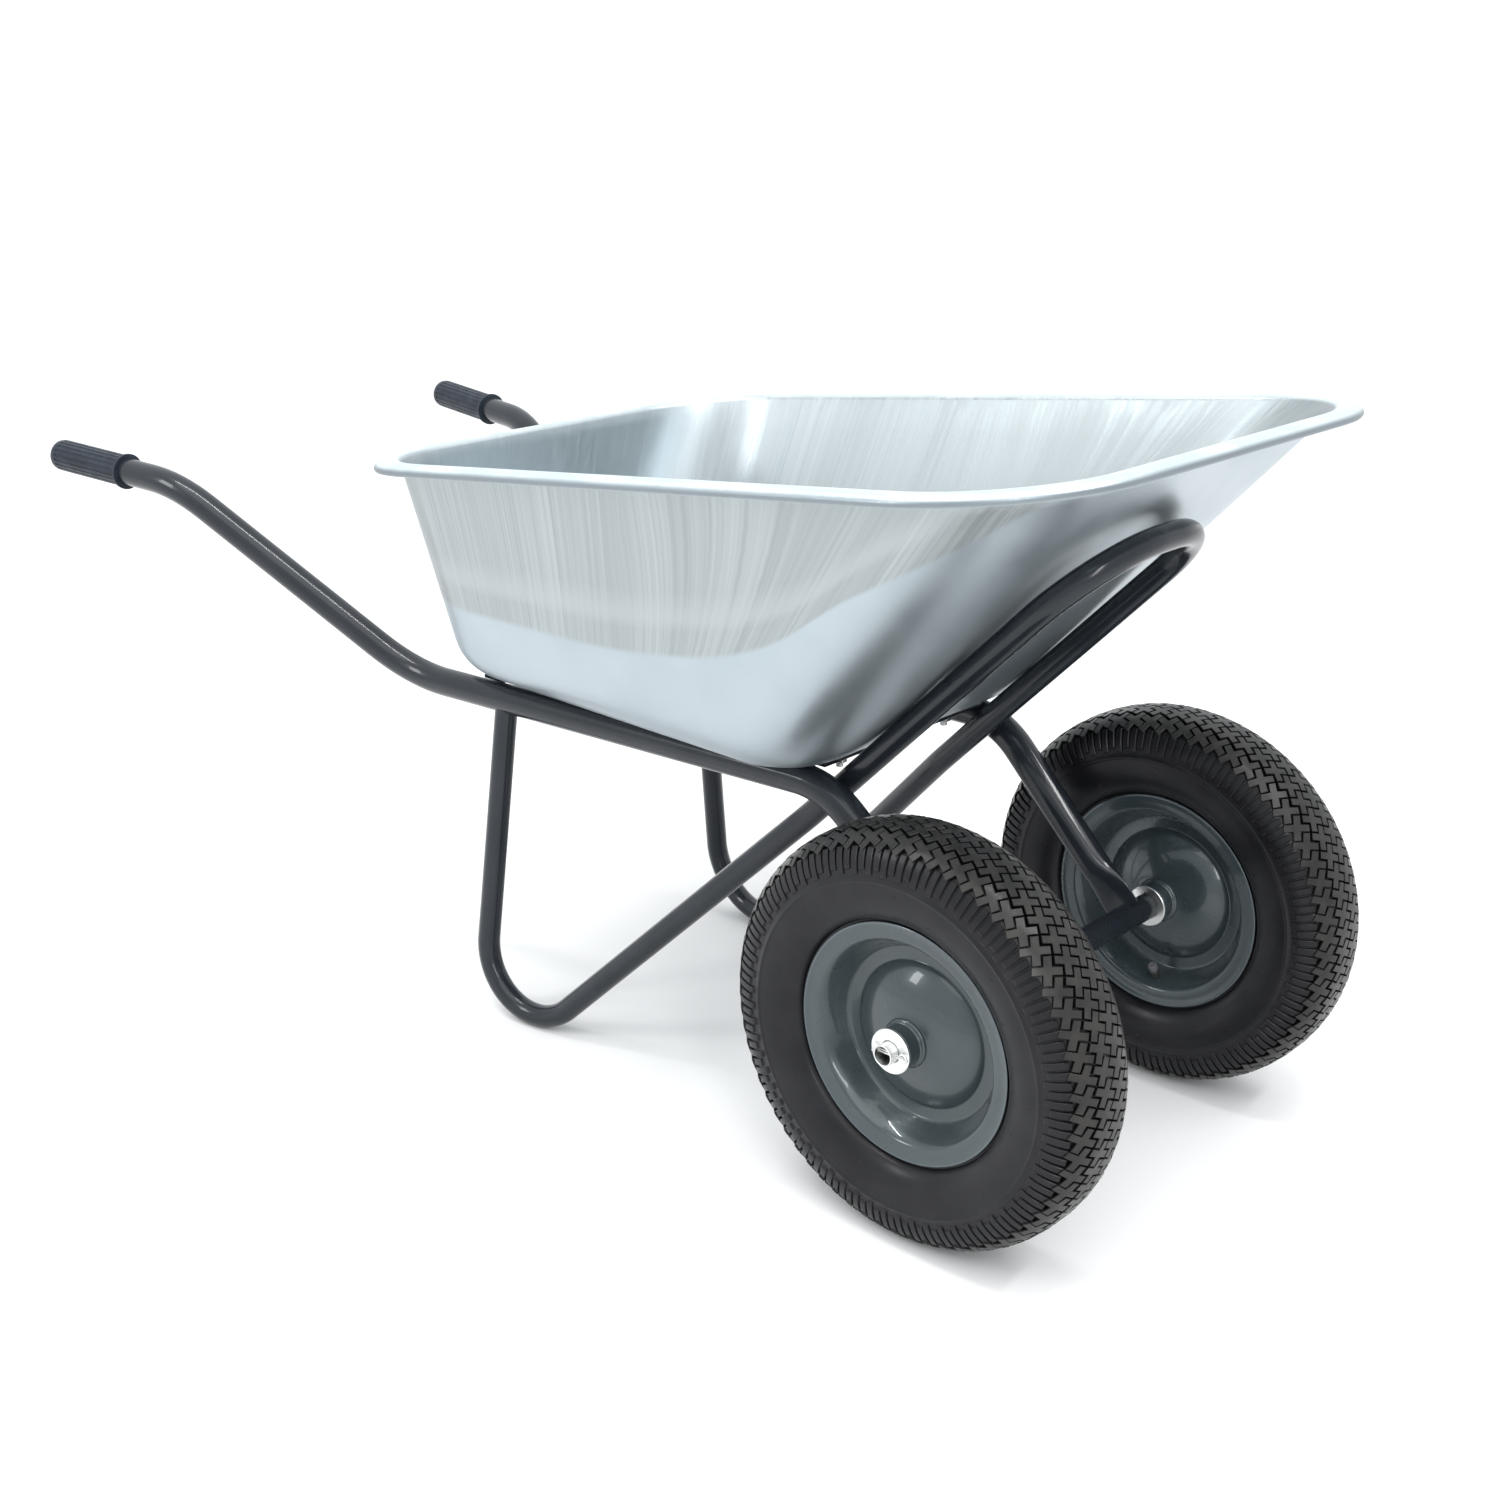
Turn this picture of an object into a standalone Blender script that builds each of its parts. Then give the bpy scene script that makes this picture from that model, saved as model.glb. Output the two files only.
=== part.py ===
"""A builder's wheelbarrow with two pneumatic wheels on one fixed axle.

X points forward from the grips to the wheels, Y to the user's left and Z up, with the ground at
z = 0. The origin is on the ground in the middle of the length. Everything is laid out from the
middle of the axle, through a parent empty, in metres.
"""

from math import atan2, cos, hypot, pi, sin, sqrt, tan

import bmesh
import bpy
from mathutils import Matrix, Vector

# Overall
LENGTH = 1.4737  # from the grips' ends to the front of the tyres
FIT_GAP = 0.0003  # between two pieces that touch or are welded
RUN_GAP = 0.0003  # between an axle and what turns on it

# Tyres, inner tubes and rims
TYRE_RADIUS = 0.200
TYRE_WIDTH = 0.094
TYRE_WALL = 0.007
TREAD_WALL = 0.010
RIM_RADIUS = 0.1149  # at the flange's edge
RIM_FLANGE_HEIGHT = 0.0154
RIM_HALF_WIDTH = 0.0316
RIM_SHEET = 0.0018
RIM_PLATE_OUTER = 0.0830  # the two pressed halves meet between these two radii
RIM_PLATE_INNER = 0.0705
DISH_RISE = 0.0215  # how far the domed centre stands out at the hub
TUBE_WALL = 0.0020
WHEEL_SEGMENTS = 24
AIR_SEGMENTS = 20
TYRE_SEGMENTS = 28

# Hub, bushes and axle
AXLE_RADIUS = 0.0100
AXLE_WALL = 0.0013
AXLE_OVERHANG = 0.0110  # past the outer washers
AXLE_TUBE_WALL = 0.0030
HUB_LENGTH = 0.087
HUB_RADIUS = 0.0205
HUB_WALL = 0.0025
BUSH_LENGTH = 0.020
WASHER_THICKNESS = 0.0030
WASHER_RADIUS = HUB_RADIUS + 0.0008
AXLE_SEGMENTS = 16
ROD_SIDES = 16  # of a round cutter

# Frame tubes
MAIN_TUBE_RADIUS = 0.016
LOOP_TUBE_RADIUS = 0.0125
TUBE_SHEET = 0.0018
TUBE_SIDES = 10
BEND_STEP = 0.26  # radians of bend between two rings of a tube
GRIP_POINT = Vector((-1.2677, 0.2944, 0.5668))
HANDLE_BEND = Vector((-1.0596, 0.2671, 0.5555))
REAR_BEND = Vector((-0.7775, 0.1583, 0.3600))
FRONT_BEND = Vector((-0.1738, 0.1348, 0.3711))
AXLE_LUG_Y = 0.1279
HANDLE_BEND_RADIUS = 0.154
REAR_BEND_RADIUS = 0.158
FRONT_BEND_RADIUS = 0.095
LUG_LENGTH = 0.060  # of the main tube's pressed end
LUG_HALF_WIDTH = 0.0210
LUG_HALF_THICKNESS = 0.0028
LUG_SETBACK = 0.010  # from the axle's centre line
TYRE_CLEARANCE = 0.0104  # between a main tube at its front bend and the tyre

# Leg and nose loop, one continuous tube
LEG_X = -0.6229
FOOT_X = -0.6417
FOOT_Y = 0.2076
FOOT_RADIUS = 0.0705
CROSSING_X = -0.2249
CROSSING_DROP = 0.06686  # below the underside of the tray's floor
CROSSING_RADIUS = 0.120
NOSE_SHARE = 0.78226  # of the way up the tray's front wall
NOSE_STANDOFF = 0.02502  # from that wall
NOSE_RADIUS = 0.0906
NOSE_INSET = 0.0050  # the nose is this much narrower than the crossing on each side

# Tray
TRAY_SHEET = 0.0015
RIM_REAR_X = -0.7156
RIM_FRONT_X = 0.1385
RIM_REAR_HALF_WIDTH = 0.2601
RIM_FRONT_HALF_WIDTH = 0.2887
RIM_REAR_Z = 0.6282
RIM_FRONT_Z = 0.7201
RIM_REAR_CORNER = 0.1129
RIM_FRONT_CORNER = 0.1194
FLOOR_REAR_X = -0.7458
FLOOR_FRONT_X = -0.1748
FLOOR_REAR_HALF_WIDTH = 0.1727
FLOOR_FRONT_HALF_WIDTH = 0.2098
FLOOR_REAR_CORNER = 0.1378
FLOOR_FRONT_CORNER = 0.0850
FLOOR_FILLET = 0.0534  # round the rear and the sides
FLOOR_FRONT_FILLET = 0.0220
RIM_OVERHANG = 0.0245
RIM_DEPTH = 0.0080
FLOOR_PATCH = (-0.58, -0.30, 0.12, 0.12, 0.03, 0.03)  # clear of the bolts, like a rounded_outline
CORNER_STEPS = 5
WALL_STEPS = 3
FILLET_STEPS = 4

# Cross bars and the bolts that hold the tray on them
BAR_WIDTH = 0.034
BAR_THICKNESS = 0.004
REAR_BAR_X = -0.656
FRONT_BAR_X = -0.207
BOLT_HALF_SPACING = 0.083
BOLT_RADIUS = 0.0040
BOLT_HEAD_RADIUS = 0.0095
BOLT_HEAD_HEIGHT = 0.0045
BOLT_END = 0.0050  # past the nut
NUT_HALF_FLATS = 0.0065
NUT_HEIGHT = 0.0065
BOLT_WASHER_RADIUS = 0.0090
BOLT_WASHER_THICKNESS = 0.0016

# Grips, valves and split pins
GRIP_LENGTH = 0.1265
GRIP_WALL = 0.0023
GRIP_END = 0.0040
GRIP_FLANGE_RADIUS = 0.0212
GRIP_FLANGE_THICKNESS = 0.0030
VALVE_RADIUS = 0.0040
VALVE_CAP_RADIUS = 0.0050
PIN_WIRE_RADIUS = 0.0009
PIN_HALF_SPACING = 0.0011

# Worked out from the sizes above
LUG_TIP_RADIUS = AXLE_RADIUS + FIT_GAP + AXLE_TUBE_WALL  # the axle tube's outer radius
TRACK = 2 * (FRONT_BEND.y + MAIN_TUBE_RADIUS + TYRE_CLEARANCE + TYRE_WIDTH / 2)
HUB_INNER_Y = TRACK / 2 - HUB_LENGTH / 2
HUB_OUTER_Y = TRACK / 2 + HUB_LENGTH / 2
AXLE_TUBE_END = HUB_INNER_Y - WASHER_THICKNESS - 2 * FIT_GAP
AXLE_END = HUB_OUTER_Y + FIT_GAP + WASHER_THICKNESS + AXLE_OVERHANG
SIDES = (("left", 1), ("right", -1))


def clear_scene():
    """Removes every object that the file starts with."""
    for thing in list(bpy.data.objects):
        bpy.data.objects.remove(thing, do_unlink=True)


def make_material(name, colour, roughness, metallic):
    """A plain Principled material, one for each piece."""
    material = bpy.data.materials.new(name)
    material.use_nodes = True
    shader = material.node_tree.nodes["Principled BSDF"]
    shader.inputs["Base Color"].default_value = (*colour, 1.0)
    shader.inputs["Roughness"].default_value = roughness
    shader.inputs["Metallic"].default_value = metallic
    return material


FINISHES = {
    "zinc_sheet": ((0.62, 0.66, 0.68), 0.35, 0.9),
    "frame_paint": ((0.05, 0.055, 0.06), 0.30, 0.2),
    "rim_paint": ((0.16, 0.19, 0.20), 0.28, 0.5),
    "rubber": ((0.035, 0.035, 0.037), 0.75, 0.0),
    "grip_plastic": ((0.02, 0.03, 0.045), 0.45, 0.0),
    "zinc_plate": ((0.70, 0.72, 0.72), 0.25, 1.0),
    "nylon": ((0.10, 0.10, 0.11), 0.50, 0.0),
}


def add_piece(name, mesh, finish, parent, smooth_angle=0.6):
    """Puts a mesh in the scene as a named piece with a material of its own."""
    piece = bpy.data.objects.new(name, mesh)
    bpy.context.scene.collection.objects.link(piece)
    piece.parent = parent
    mesh.materials.append(make_material(name + "_finish", *FINISHES[finish]))
    mesh.shade_smooth()
    mesh.set_sharp_from_angle(angle=smooth_angle)
    return piece


def add_empty(name, location, parent=None, rotation=(0.0, 0.0, 0.0)):
    empty = bpy.data.objects.new(name, None)
    bpy.context.scene.collection.objects.link(empty)
    empty.location = location
    empty.rotation_euler = rotation
    empty.parent = parent
    return empty


def mesh_from_rings(name, rings, closed_round=False, cap_first=False, cap_last=False):
    """Skins a list of rings of points with quads, and caps or joins the two ends."""
    shape = bmesh.new()
    rows = [[shape.verts.new(point) for point in ring] for ring in rings]
    pairs = list(zip(rows, rows[1:]))
    if closed_round:
        pairs.append((rows[-1], rows[0]))
    for first, second in pairs:
        count = len(first)
        for i in range(count):
            j = (i + 1) % count
            shape.faces.new((first[i], first[j], second[j], second[i]))
    if cap_first:
        shape.faces.new(rows[0][::-1])
    if cap_last:
        shape.faces.new(rows[-1])
    if closed_round or cap_last:
        bmesh.ops.recalc_face_normals(shape, faces=shape.faces)
    mesh = bpy.data.meshes.new(name)
    shape.to_mesh(mesh)
    shape.free()
    return mesh


def turned_mesh(name, profile, segments):
    """Turns a closed profile of (radius, along) points round the local Y axis.

    A flat of the many-sided shape lies at the bottom, as on the ground.
    """
    rings = []
    for step in range(segments):
        angle = 2 * pi * (step + 0.5) / segments
        rings.append([(r * sin(angle), along, r * cos(angle)) for r, along in profile])
    return mesh_from_rings(name, rings, closed_round=True)


def sleeve_mesh(name, outer, inner, start, end, segments=AXLE_SEGMENTS):
    """A plain tube or washer round the local Y axis."""
    return turned_mesh(name, [(outer, start), (outer, end), (inner, end), (inner, start)], segments)


def filleted_path(corners, radii):
    """The corner points of a bent tube, with each inner corner turned into an arc."""
    points = [corners[0]]
    for before, corner, after, radius in zip(corners, corners[1:], corners[2:], radii):
        to_before = (before - corner).normalized()
        to_after = (after - corner).normalized()
        turn = pi - to_before.angle(to_after)
        centre = corner + (to_before + to_after).normalized() * (radius / cos(turn / 2))
        start = corner + to_before * (radius * tan(turn / 2))
        first_spoke = (start - centre) / radius
        second_spoke = first_spoke.cross(to_before).cross(first_spoke).normalized()
        steps = max(1, round(turn / BEND_STEP))
        for step in range(steps + 1):
            angle = turn * step / steps
            points.append(centre + (first_spoke * cos(angle) - second_spoke * sin(angle)) * radius)
    points.append(corners[-1])
    return points


def path_tangents(points):
    """The direction of a path at each of its points."""
    tangents = []
    for i, point in enumerate(points):
        before = points[max(i - 1, 0)]
        after = points[min(i + 1, len(points) - 1)]
        incoming = (point - before).normalized() if i else Vector()
        outgoing = (after - point).normalized() if i < len(points) - 1 else Vector()
        tangents.append((incoming + outgoing).normalized())
    return tangents


def carried_sides(points, tangents, start):
    """A sideways direction at each point of a path, carried along it without twist."""
    side = start
    sides = []
    for i, tangent in enumerate(tangents):
        if i:
            side = tangents[i - 1].rotation_difference(tangent) @ side
        side = (side - tangent * side.dot(tangent)).normalized()
        sides.append(side)
    return sides


def tube_ring(centre, tangent, side, half_thickness, half_width, sides_count):
    """One ring of a tube, with its first radius across the tube's side direction."""
    up = tangent.cross(side)
    ring = []
    for step in range(sides_count):
        angle = 2 * pi * (step + 0.5) / sides_count
        ring.append(centre + side * (cos(angle) * half_thickness) + up * (sin(angle) * half_width))
    return ring


def rail_point(x):
    """The point of a main tube's centre line under the tray, left side, at this x."""
    share = (x - REAR_BEND.x) / (FRONT_BEND.x - REAR_BEND.x)
    return REAR_BEND.lerp(FRONT_BEND, share)


RAIL_SLOPE = atan2(FRONT_BEND.z - REAR_BEND.z, FRONT_BEND.x - REAR_BEND.x)


def mirrored(points, side):
    return [Vector((point.x, point.y * side, point.z)) for point in points]


def add_cutter(name, mesh, parent):
    cutter = bpy.data.objects.new(name, mesh)
    bpy.context.scene.collection.objects.link(cutter)
    cutter.parent = parent
    cutter.hide_render = True
    cutter.display_type = "WIRE"
    return cutter


def cut(piece, cutter):
    hole = piece.modifiers.new("cut_" + cutter.name, "BOOLEAN")
    hole.operation = "DIFFERENCE"
    hole.solver = "EXACT"
    hole.object = cutter


def rod_between(name, start, end, radius, sides_count=ROD_SIDES):
    """A closed round bar between two points, used as a cutter."""
    tangent = (end - start).normalized()
    side = tangent.orthogonal().normalized()
    rings = [tube_ring(point, tangent, side, radius, radius, sides_count) for point in (start, end)]
    return mesh_from_rings(name, rings, cap_first=True, cap_last=True)


def add_main_tube(side_name, side, root):
    """A handle tube: grip, rail under the tray, front bend and pressed end at the axle."""
    axle_point = Vector((0.0, AXLE_LUG_Y, TYRE_RADIUS))
    toward_axle = (axle_point - FRONT_BEND).normalized()
    tip = axle_point - toward_axle * LUG_SETBACK
    lug_start = tip - toward_axle * LUG_LENGTH
    corners = [GRIP_POINT, HANDLE_BEND, REAR_BEND, FRONT_BEND, lug_start]
    path = filleted_path(corners, (HANDLE_BEND_RADIUS, REAR_BEND_RADIUS, FRONT_BEND_RADIUS))
    lug_steps = 4
    path += [lug_start.lerp(tip, step / lug_steps) for step in range(1, lug_steps + 1)]
    path = mirrored(path, side)
    tangents = path_tangents(path)
    inner_radius = MAIN_TUBE_RADIUS - TUBE_SHEET
    outer_rings = []
    inner_rings = []
    last_round = len(path) - 1 - lug_steps
    for i, (point, tangent) in enumerate(zip(path, tangents)):
        across = (Vector((0, 1, 0)) - tangent * tangent.y).normalized()
        pressed = min(1.0, max(0.0, (i - last_round) / (lug_steps - 1)))
        thickness = MAIN_TUBE_RADIUS + (LUG_HALF_THICKNESS - MAIN_TUBE_RADIUS) * pressed
        width = MAIN_TUBE_RADIUS + (LUG_HALF_WIDTH - MAIN_TUBE_RADIUS) * pressed
        outer_rings.append(tube_ring(point, tangent, across, thickness, width, TUBE_SIDES))
        if i <= last_round:
            inner_rings.append(tube_ring(point, tangent, across, inner_radius, inner_radius, TUBE_SIDES))
    rings = list(reversed(inner_rings)) + outer_rings
    mesh = mesh_from_rings("main_tube_" + side_name, rings, cap_first=True, cap_last=True)
    tube = add_piece("main_tube_" + side_name, mesh, "frame_paint", root)
    saddle = rod_between(
        "axle_saddle_" + side_name,
        Vector((0.0, side * (AXLE_LUG_Y - BAR_WIDTH), TYRE_RADIUS)),
        Vector((0.0, side * (AXLE_LUG_Y + BAR_WIDTH), TYRE_RADIUS)),
        LUG_TIP_RADIUS + FIT_GAP,
    )
    cut(tube, add_cutter("axle_saddle_" + side_name, saddle, root))
    return tube


def loop_rings(foot_z, radius):
    """The rings of the leg and nose loop, with its foot's corner point at this height."""
    crossing_y = FRONT_BEND.y - MAIN_TUBE_RADIUS - LOOP_TUBE_RADIUS - 4 * FIT_GAP
    crossing_z = floor_height(CROSSING_X) - CROSSING_DROP
    wall_foot = Vector((FLOOR_FRONT_X, 0.0, floor_height(FLOOR_FRONT_X)))
    wall = Vector((RIM_FRONT_X, 0.0, RIM_FRONT_Z)) - wall_foot
    away_from_wall = Vector((wall.z, 0.0, -wall.x)).normalized()
    nose = wall_foot + wall * NOSE_SHARE + away_from_wall * NOSE_STANDOFF
    left = [
        rail_point(LEG_X),
        Vector((FOOT_X, FOOT_Y, foot_z)),
        Vector((CROSSING_X, crossing_y, crossing_z)),
        Vector((nose.x, crossing_y - NOSE_INSET, nose.z)),
    ]
    right = mirrored(reversed(left), -1)
    radii = (FOOT_RADIUS, CROSSING_RADIUS, NOSE_RADIUS)
    path = filleted_path(left + right, radii + radii[::-1])
    tangents = path_tangents(path)
    sides = carried_sides(path, tangents, Vector((0, 1, 0)))
    spine = zip(path, tangents, sides)
    return [tube_ring(p, t, s, radius, radius, TUBE_SIDES) for p, t, s in spine]


def standing_foot_height():
    """The height of the foot's corner point that puts the bent tube's underside on the ground."""
    foot_z = 0.0
    for _ in range(8):
        rings = loop_rings(foot_z, LOOP_TUBE_RADIUS)
        foot_z -= min(point.z for ring in rings for point in ring)
    return foot_z


def add_leg_loop(root):
    """The legs, feet, stays and nose loop, bent from one tube and welded under the rails."""
    foot_z = standing_foot_height()
    bore = loop_rings(foot_z, LOOP_TUBE_RADIUS - TUBE_SHEET)
    skin = loop_rings(foot_z, LOOP_TUBE_RADIUS)
    mesh = mesh_from_rings("leg_loop_tube", bore + skin[::-1], closed_round=True)
    tube = add_piece("leg_loop_tube", mesh, "frame_paint", root)
    coping_radius = (MAIN_TUBE_RADIUS + FIT_GAP) / cos(pi / ROD_SIDES)
    for side_name, side in SIDES:
        ends = mirrored([rail_point(LEG_X - 0.05), rail_point(LEG_X + 0.05)], side)
        coping = rod_between("leg_coping_" + side_name, *ends, coping_radius)
        cut(tube, add_cutter("leg_coping_" + side_name, coping, root))


def floor_height(x):
    """The height of the tray floor's underside: it lies on the two rails."""
    return rail_point(x).z + (MAIN_TUBE_RADIUS + FIT_GAP) / cos(RAIL_SLOPE)


def rim_height(x):
    """The height of the rim's plane, which rises to the front."""
    share = (x - RIM_REAR_X) / (RIM_FRONT_X - RIM_REAR_X)
    return RIM_REAR_Z + (RIM_FRONT_Z - RIM_REAR_Z) * share


def rounded_outline(rear_x, front_x, rear_half, front_half, rear_corner, front_corner):
    """A trapezium with rounded corners, seen from above, as (x, y) pairs."""
    corners = [(rear_x, -rear_half), (front_x, -front_half), (front_x, front_half), (rear_x, rear_half)]
    radii = (rear_corner, front_corner, front_corner, rear_corner)
    points = []
    for i, radius in enumerate(radii):
        corner = Vector(corners[i])
        to_before = (Vector(corners[i - 1]) - corner).normalized()
        to_after = (Vector(corners[(i + 1) % 4]) - corner).normalized()
        turn = pi - to_before.angle(to_after)
        centre = corner + (to_before + to_after).normalized() * (radius / cos(turn / 2))
        start_angle = atan2(*(corner + to_before * (radius * tan(turn / 2)) - centre).yx)
        for step in range(CORNER_STEPS + 1):
            angle = start_angle + turn * step / CORNER_STEPS
            points.append((centre.x + radius * cos(angle), centre.y + radius * sin(angle)))
    return points


def tray_ring(share, inset, outward, drop):
    """A ring of the tray: share 0 is the floor's edge and 1 the rim.

    The inset, from 0 to 1, is how far in over the bottom's rounded edge the ring lies.
    """

    def between(low, high):
        return low + (high - low) * share

    shift = outward - inset * FLOOR_FILLET
    outline = rounded_outline(
        between(FLOOR_REAR_X, RIM_REAR_X) - shift,
        between(FLOOR_FRONT_X, RIM_FRONT_X) + outward - inset * FLOOR_FRONT_FILLET,
        between(FLOOR_REAR_HALF_WIDTH, RIM_REAR_HALF_WIDTH) + shift,
        between(FLOOR_FRONT_HALF_WIDTH, RIM_FRONT_HALF_WIDTH) + shift,
        between(FLOOR_REAR_CORNER, RIM_REAR_CORNER) + shift,
        between(FLOOR_FRONT_CORNER, RIM_FRONT_CORNER) + shift,
    )
    ring = []
    for x, y in outline:
        low = floor_height(x)
        ring.append((x, y, low + (rim_height(x) - low) * share - drop))
    return ring


def add_tray(root, bolt_cutters):
    """The drawn sheet tray: flat floor, sloping walls and a rolled rim."""
    wall_height = (RIM_REAR_Z + RIM_FRONT_Z) / 2 - floor_height((FLOOR_REAR_X + FLOOR_FRONT_X) / 2)
    fillet_share = FLOOR_FILLET / wall_height
    rings = [[(x, y, floor_height(x)) for x, y in rounded_outline(*FLOOR_PATCH)]]
    for step in range(FILLET_STEPS):
        along = 1 - step / FILLET_STEPS
        rings.append(tray_ring(fillet_share * (1 - along) ** 2, along * along, 0, 0))
    for step in range(WALL_STEPS):
        share = fillet_share + (1 - fillet_share) * step / WALL_STEPS
        rings.append(tray_ring(share, 0, 0, 0))
    roll = ((0.0, 0.35), (0.15, 0.06), (0.45, 0.0), (0.80, 0.15), (1.0, 0.60), (0.96, 1.0))
    for outward, drop in roll:
        rings.append(tray_ring(1.0, 0, outward * RIM_OVERHANG, drop * RIM_DEPTH))
    mesh = mesh_from_rings("tray", rings, cap_first=True)
    tray = add_piece("tray", mesh, "zinc_sheet", root)
    sheet = tray.modifiers.new("sheet", "SOLIDIFY")
    sheet.thickness = TRAY_SHEET
    sheet.offset = -1.0
    for cutter in bolt_cutters:
        cut(tray, cutter)
    return tray


def box_mesh(name, size, centre):
    shape = bmesh.new()
    bmesh.ops.create_cube(shape, size=1.0)
    bmesh.ops.scale(shape, vec=size, verts=shape.verts)
    bmesh.ops.translate(shape, vec=centre, verts=shape.verts)
    mesh = bpy.data.meshes.new(name)
    shape.to_mesh(mesh)
    shape.free()
    return mesh


def upright_mesh(name, profile, segments):
    """Turns a closed profile of (radius, height) points round the local Z axis."""
    rings = []
    for step in range(segments):
        angle = 2 * pi * (step + 0.5) / segments
        rings.append([(r * cos(angle), r * sin(angle), height) for r, height in profile])
    return mesh_from_rings(name, rings, closed_round=True)


def solid_of_rings(name, profile, segments):
    """A solid turned round local Z from (radius, height) points, closed at both ends."""
    rings = []
    for r, height in profile:
        turns = [2 * pi * (step + 0.5) / segments for step in range(segments)]
        rings.append([(r * cos(angle), r * sin(angle), height) for angle in turns])
    return mesh_from_rings(name, rings, cap_first=True, cap_last=True)


def add_bar_and_bolts(bar_name, bar_x, root):
    """A flat cross bar between the rails, with two bolts through the tray, washers and nuts."""
    rail = rail_point(bar_x)
    frame = add_empty(bar_name + "_frame", (bar_x, 0, floor_height(bar_x)), root, (0, -RAIL_SLOPE, 0))
    bar_top = -FIT_GAP
    bar_bottom = bar_top - BAR_THICKNESS
    low = MAIN_TUBE_RADIUS + FIT_GAP + bar_bottom  # the bar's underside above the rail's centre line
    reach = sqrt(MAIN_TUBE_RADIUS**2 - low**2) + FIT_GAP
    half_length = min(rail_point(bar_x + BAR_WIDTH / 2).y, rail.y) - reach
    centre = (0, 0, (bar_top + bar_bottom) / 2)
    mesh = box_mesh(bar_name, (BAR_WIDTH, 2 * half_length, BAR_THICKNESS), centre)
    bar = add_piece(bar_name, mesh, "frame_paint", frame)
    cutters = []
    for side_name, side in SIDES:
        stem = f"{bar_name.split('_')[0]}_{side_name}"
        spot = add_empty(stem + "_bolt_centre", (0, side * BOLT_HALF_SPACING, 0), frame)
        hole_radius = BOLT_RADIUS + FIT_GAP
        depth = BAR_THICKNESS + TRAY_SHEET
        hole_profile = [(hole_radius, -2 * depth), (hole_radius, 2 * depth)]
        hole = solid_of_rings(stem + "_bolt_hole", hole_profile, 12)
        cutter = add_cutter(stem + "_bolt_hole", hole, spot)
        cut(bar, cutter)
        cutters.append(cutter)
        add_bolt_set(stem, spot, bar_bottom)
    return cutters


def add_bolt_set(stem, spot, bar_bottom):
    """A round-headed bolt from inside the tray, with its washer and nut under the bar."""
    head_base = TRAY_SHEET + FIT_GAP
    washer_top = bar_bottom - FIT_GAP
    washer_bottom = washer_top - BOLT_WASHER_THICKNESS
    nut_top = washer_bottom - FIT_GAP
    nut_bottom = nut_top - NUT_HEIGHT
    bolt_profile = [
        (BOLT_RADIUS * 0.8, nut_bottom - BOLT_END),
        (BOLT_RADIUS, nut_bottom - BOLT_END + BOLT_RADIUS * 0.2),
        (BOLT_RADIUS, head_base),
        (BOLT_HEAD_RADIUS, head_base),
        (BOLT_HEAD_RADIUS * 0.85, head_base + BOLT_HEAD_HEIGHT * 0.6),
        (BOLT_HEAD_RADIUS * 0.45, head_base + BOLT_HEAD_HEIGHT),
    ]
    add_piece(stem + "_tray_bolt", solid_of_rings(stem + "_tray_bolt", bolt_profile, 12), "zinc_plate", spot)
    bore = BOLT_RADIUS + FIT_GAP
    washer_profile = [
        (BOLT_WASHER_RADIUS, washer_bottom),
        (BOLT_WASHER_RADIUS, washer_top),
        (bore, washer_top),
        (bore, washer_bottom),
    ]
    washer = upright_mesh(stem + "_bolt_washer", washer_profile, 12)
    add_piece(stem + "_bolt_washer", washer, "zinc_plate", spot)
    nut_corner = NUT_HALF_FLATS / cos(pi / 6)
    rings = []
    for step in range(12):
        angle = 2 * pi * (step + 0.5) / 12
        flat = (angle + pi / 6) % (pi / 3) - pi / 6
        outer = min(nut_corner, NUT_HALF_FLATS / cos(flat))
        ends = [(outer, nut_bottom), (outer, nut_top), (bore, nut_top), (bore, nut_bottom)]
        rings.append([(r * cos(angle), r * sin(angle), height) for r, height in ends])
    nut = mesh_from_rings(stem + "_bolt_nut", rings, closed_round=True)
    add_piece(stem + "_bolt_nut", nut, "zinc_plate", spot)


def add_grip(side_name, side, root):
    """A closed plastic sleeve pushed on to the end of a main tube."""
    start, toward = mirrored([GRIP_POINT, HANDLE_BEND], side)
    direction = (toward - start).normalized()
    segments = 16
    bore = (MAIN_TUBE_RADIUS + FIT_GAP) / cos(pi / segments)
    outer = bore + GRIP_WALL
    back = -FIT_GAP - GRIP_END
    front = back + GRIP_LENGTH
    round_end = GRIP_END + GRIP_WALL
    profile = [
        (bore, -FIT_GAP),
        (bore, front),
        (GRIP_FLANGE_RADIUS, front),
        (GRIP_FLANGE_RADIUS, front - GRIP_FLANGE_THICKNESS),
        (outer, front - GRIP_FLANGE_THICKNESS),
        (outer, back + round_end),
        (outer - round_end * 0.3, back + round_end * 0.3),
        (outer - round_end, back),
    ]
    mesh = solid_of_rings("grip_" + side_name, profile, segments)
    grip = add_piece("grip_" + side_name, mesh, "grip_plastic", root)
    grip.location = start
    grip.rotation_mode = "QUATERNION"
    grip.rotation_quaternion = direction.to_track_quat("Z", "Y")


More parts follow.
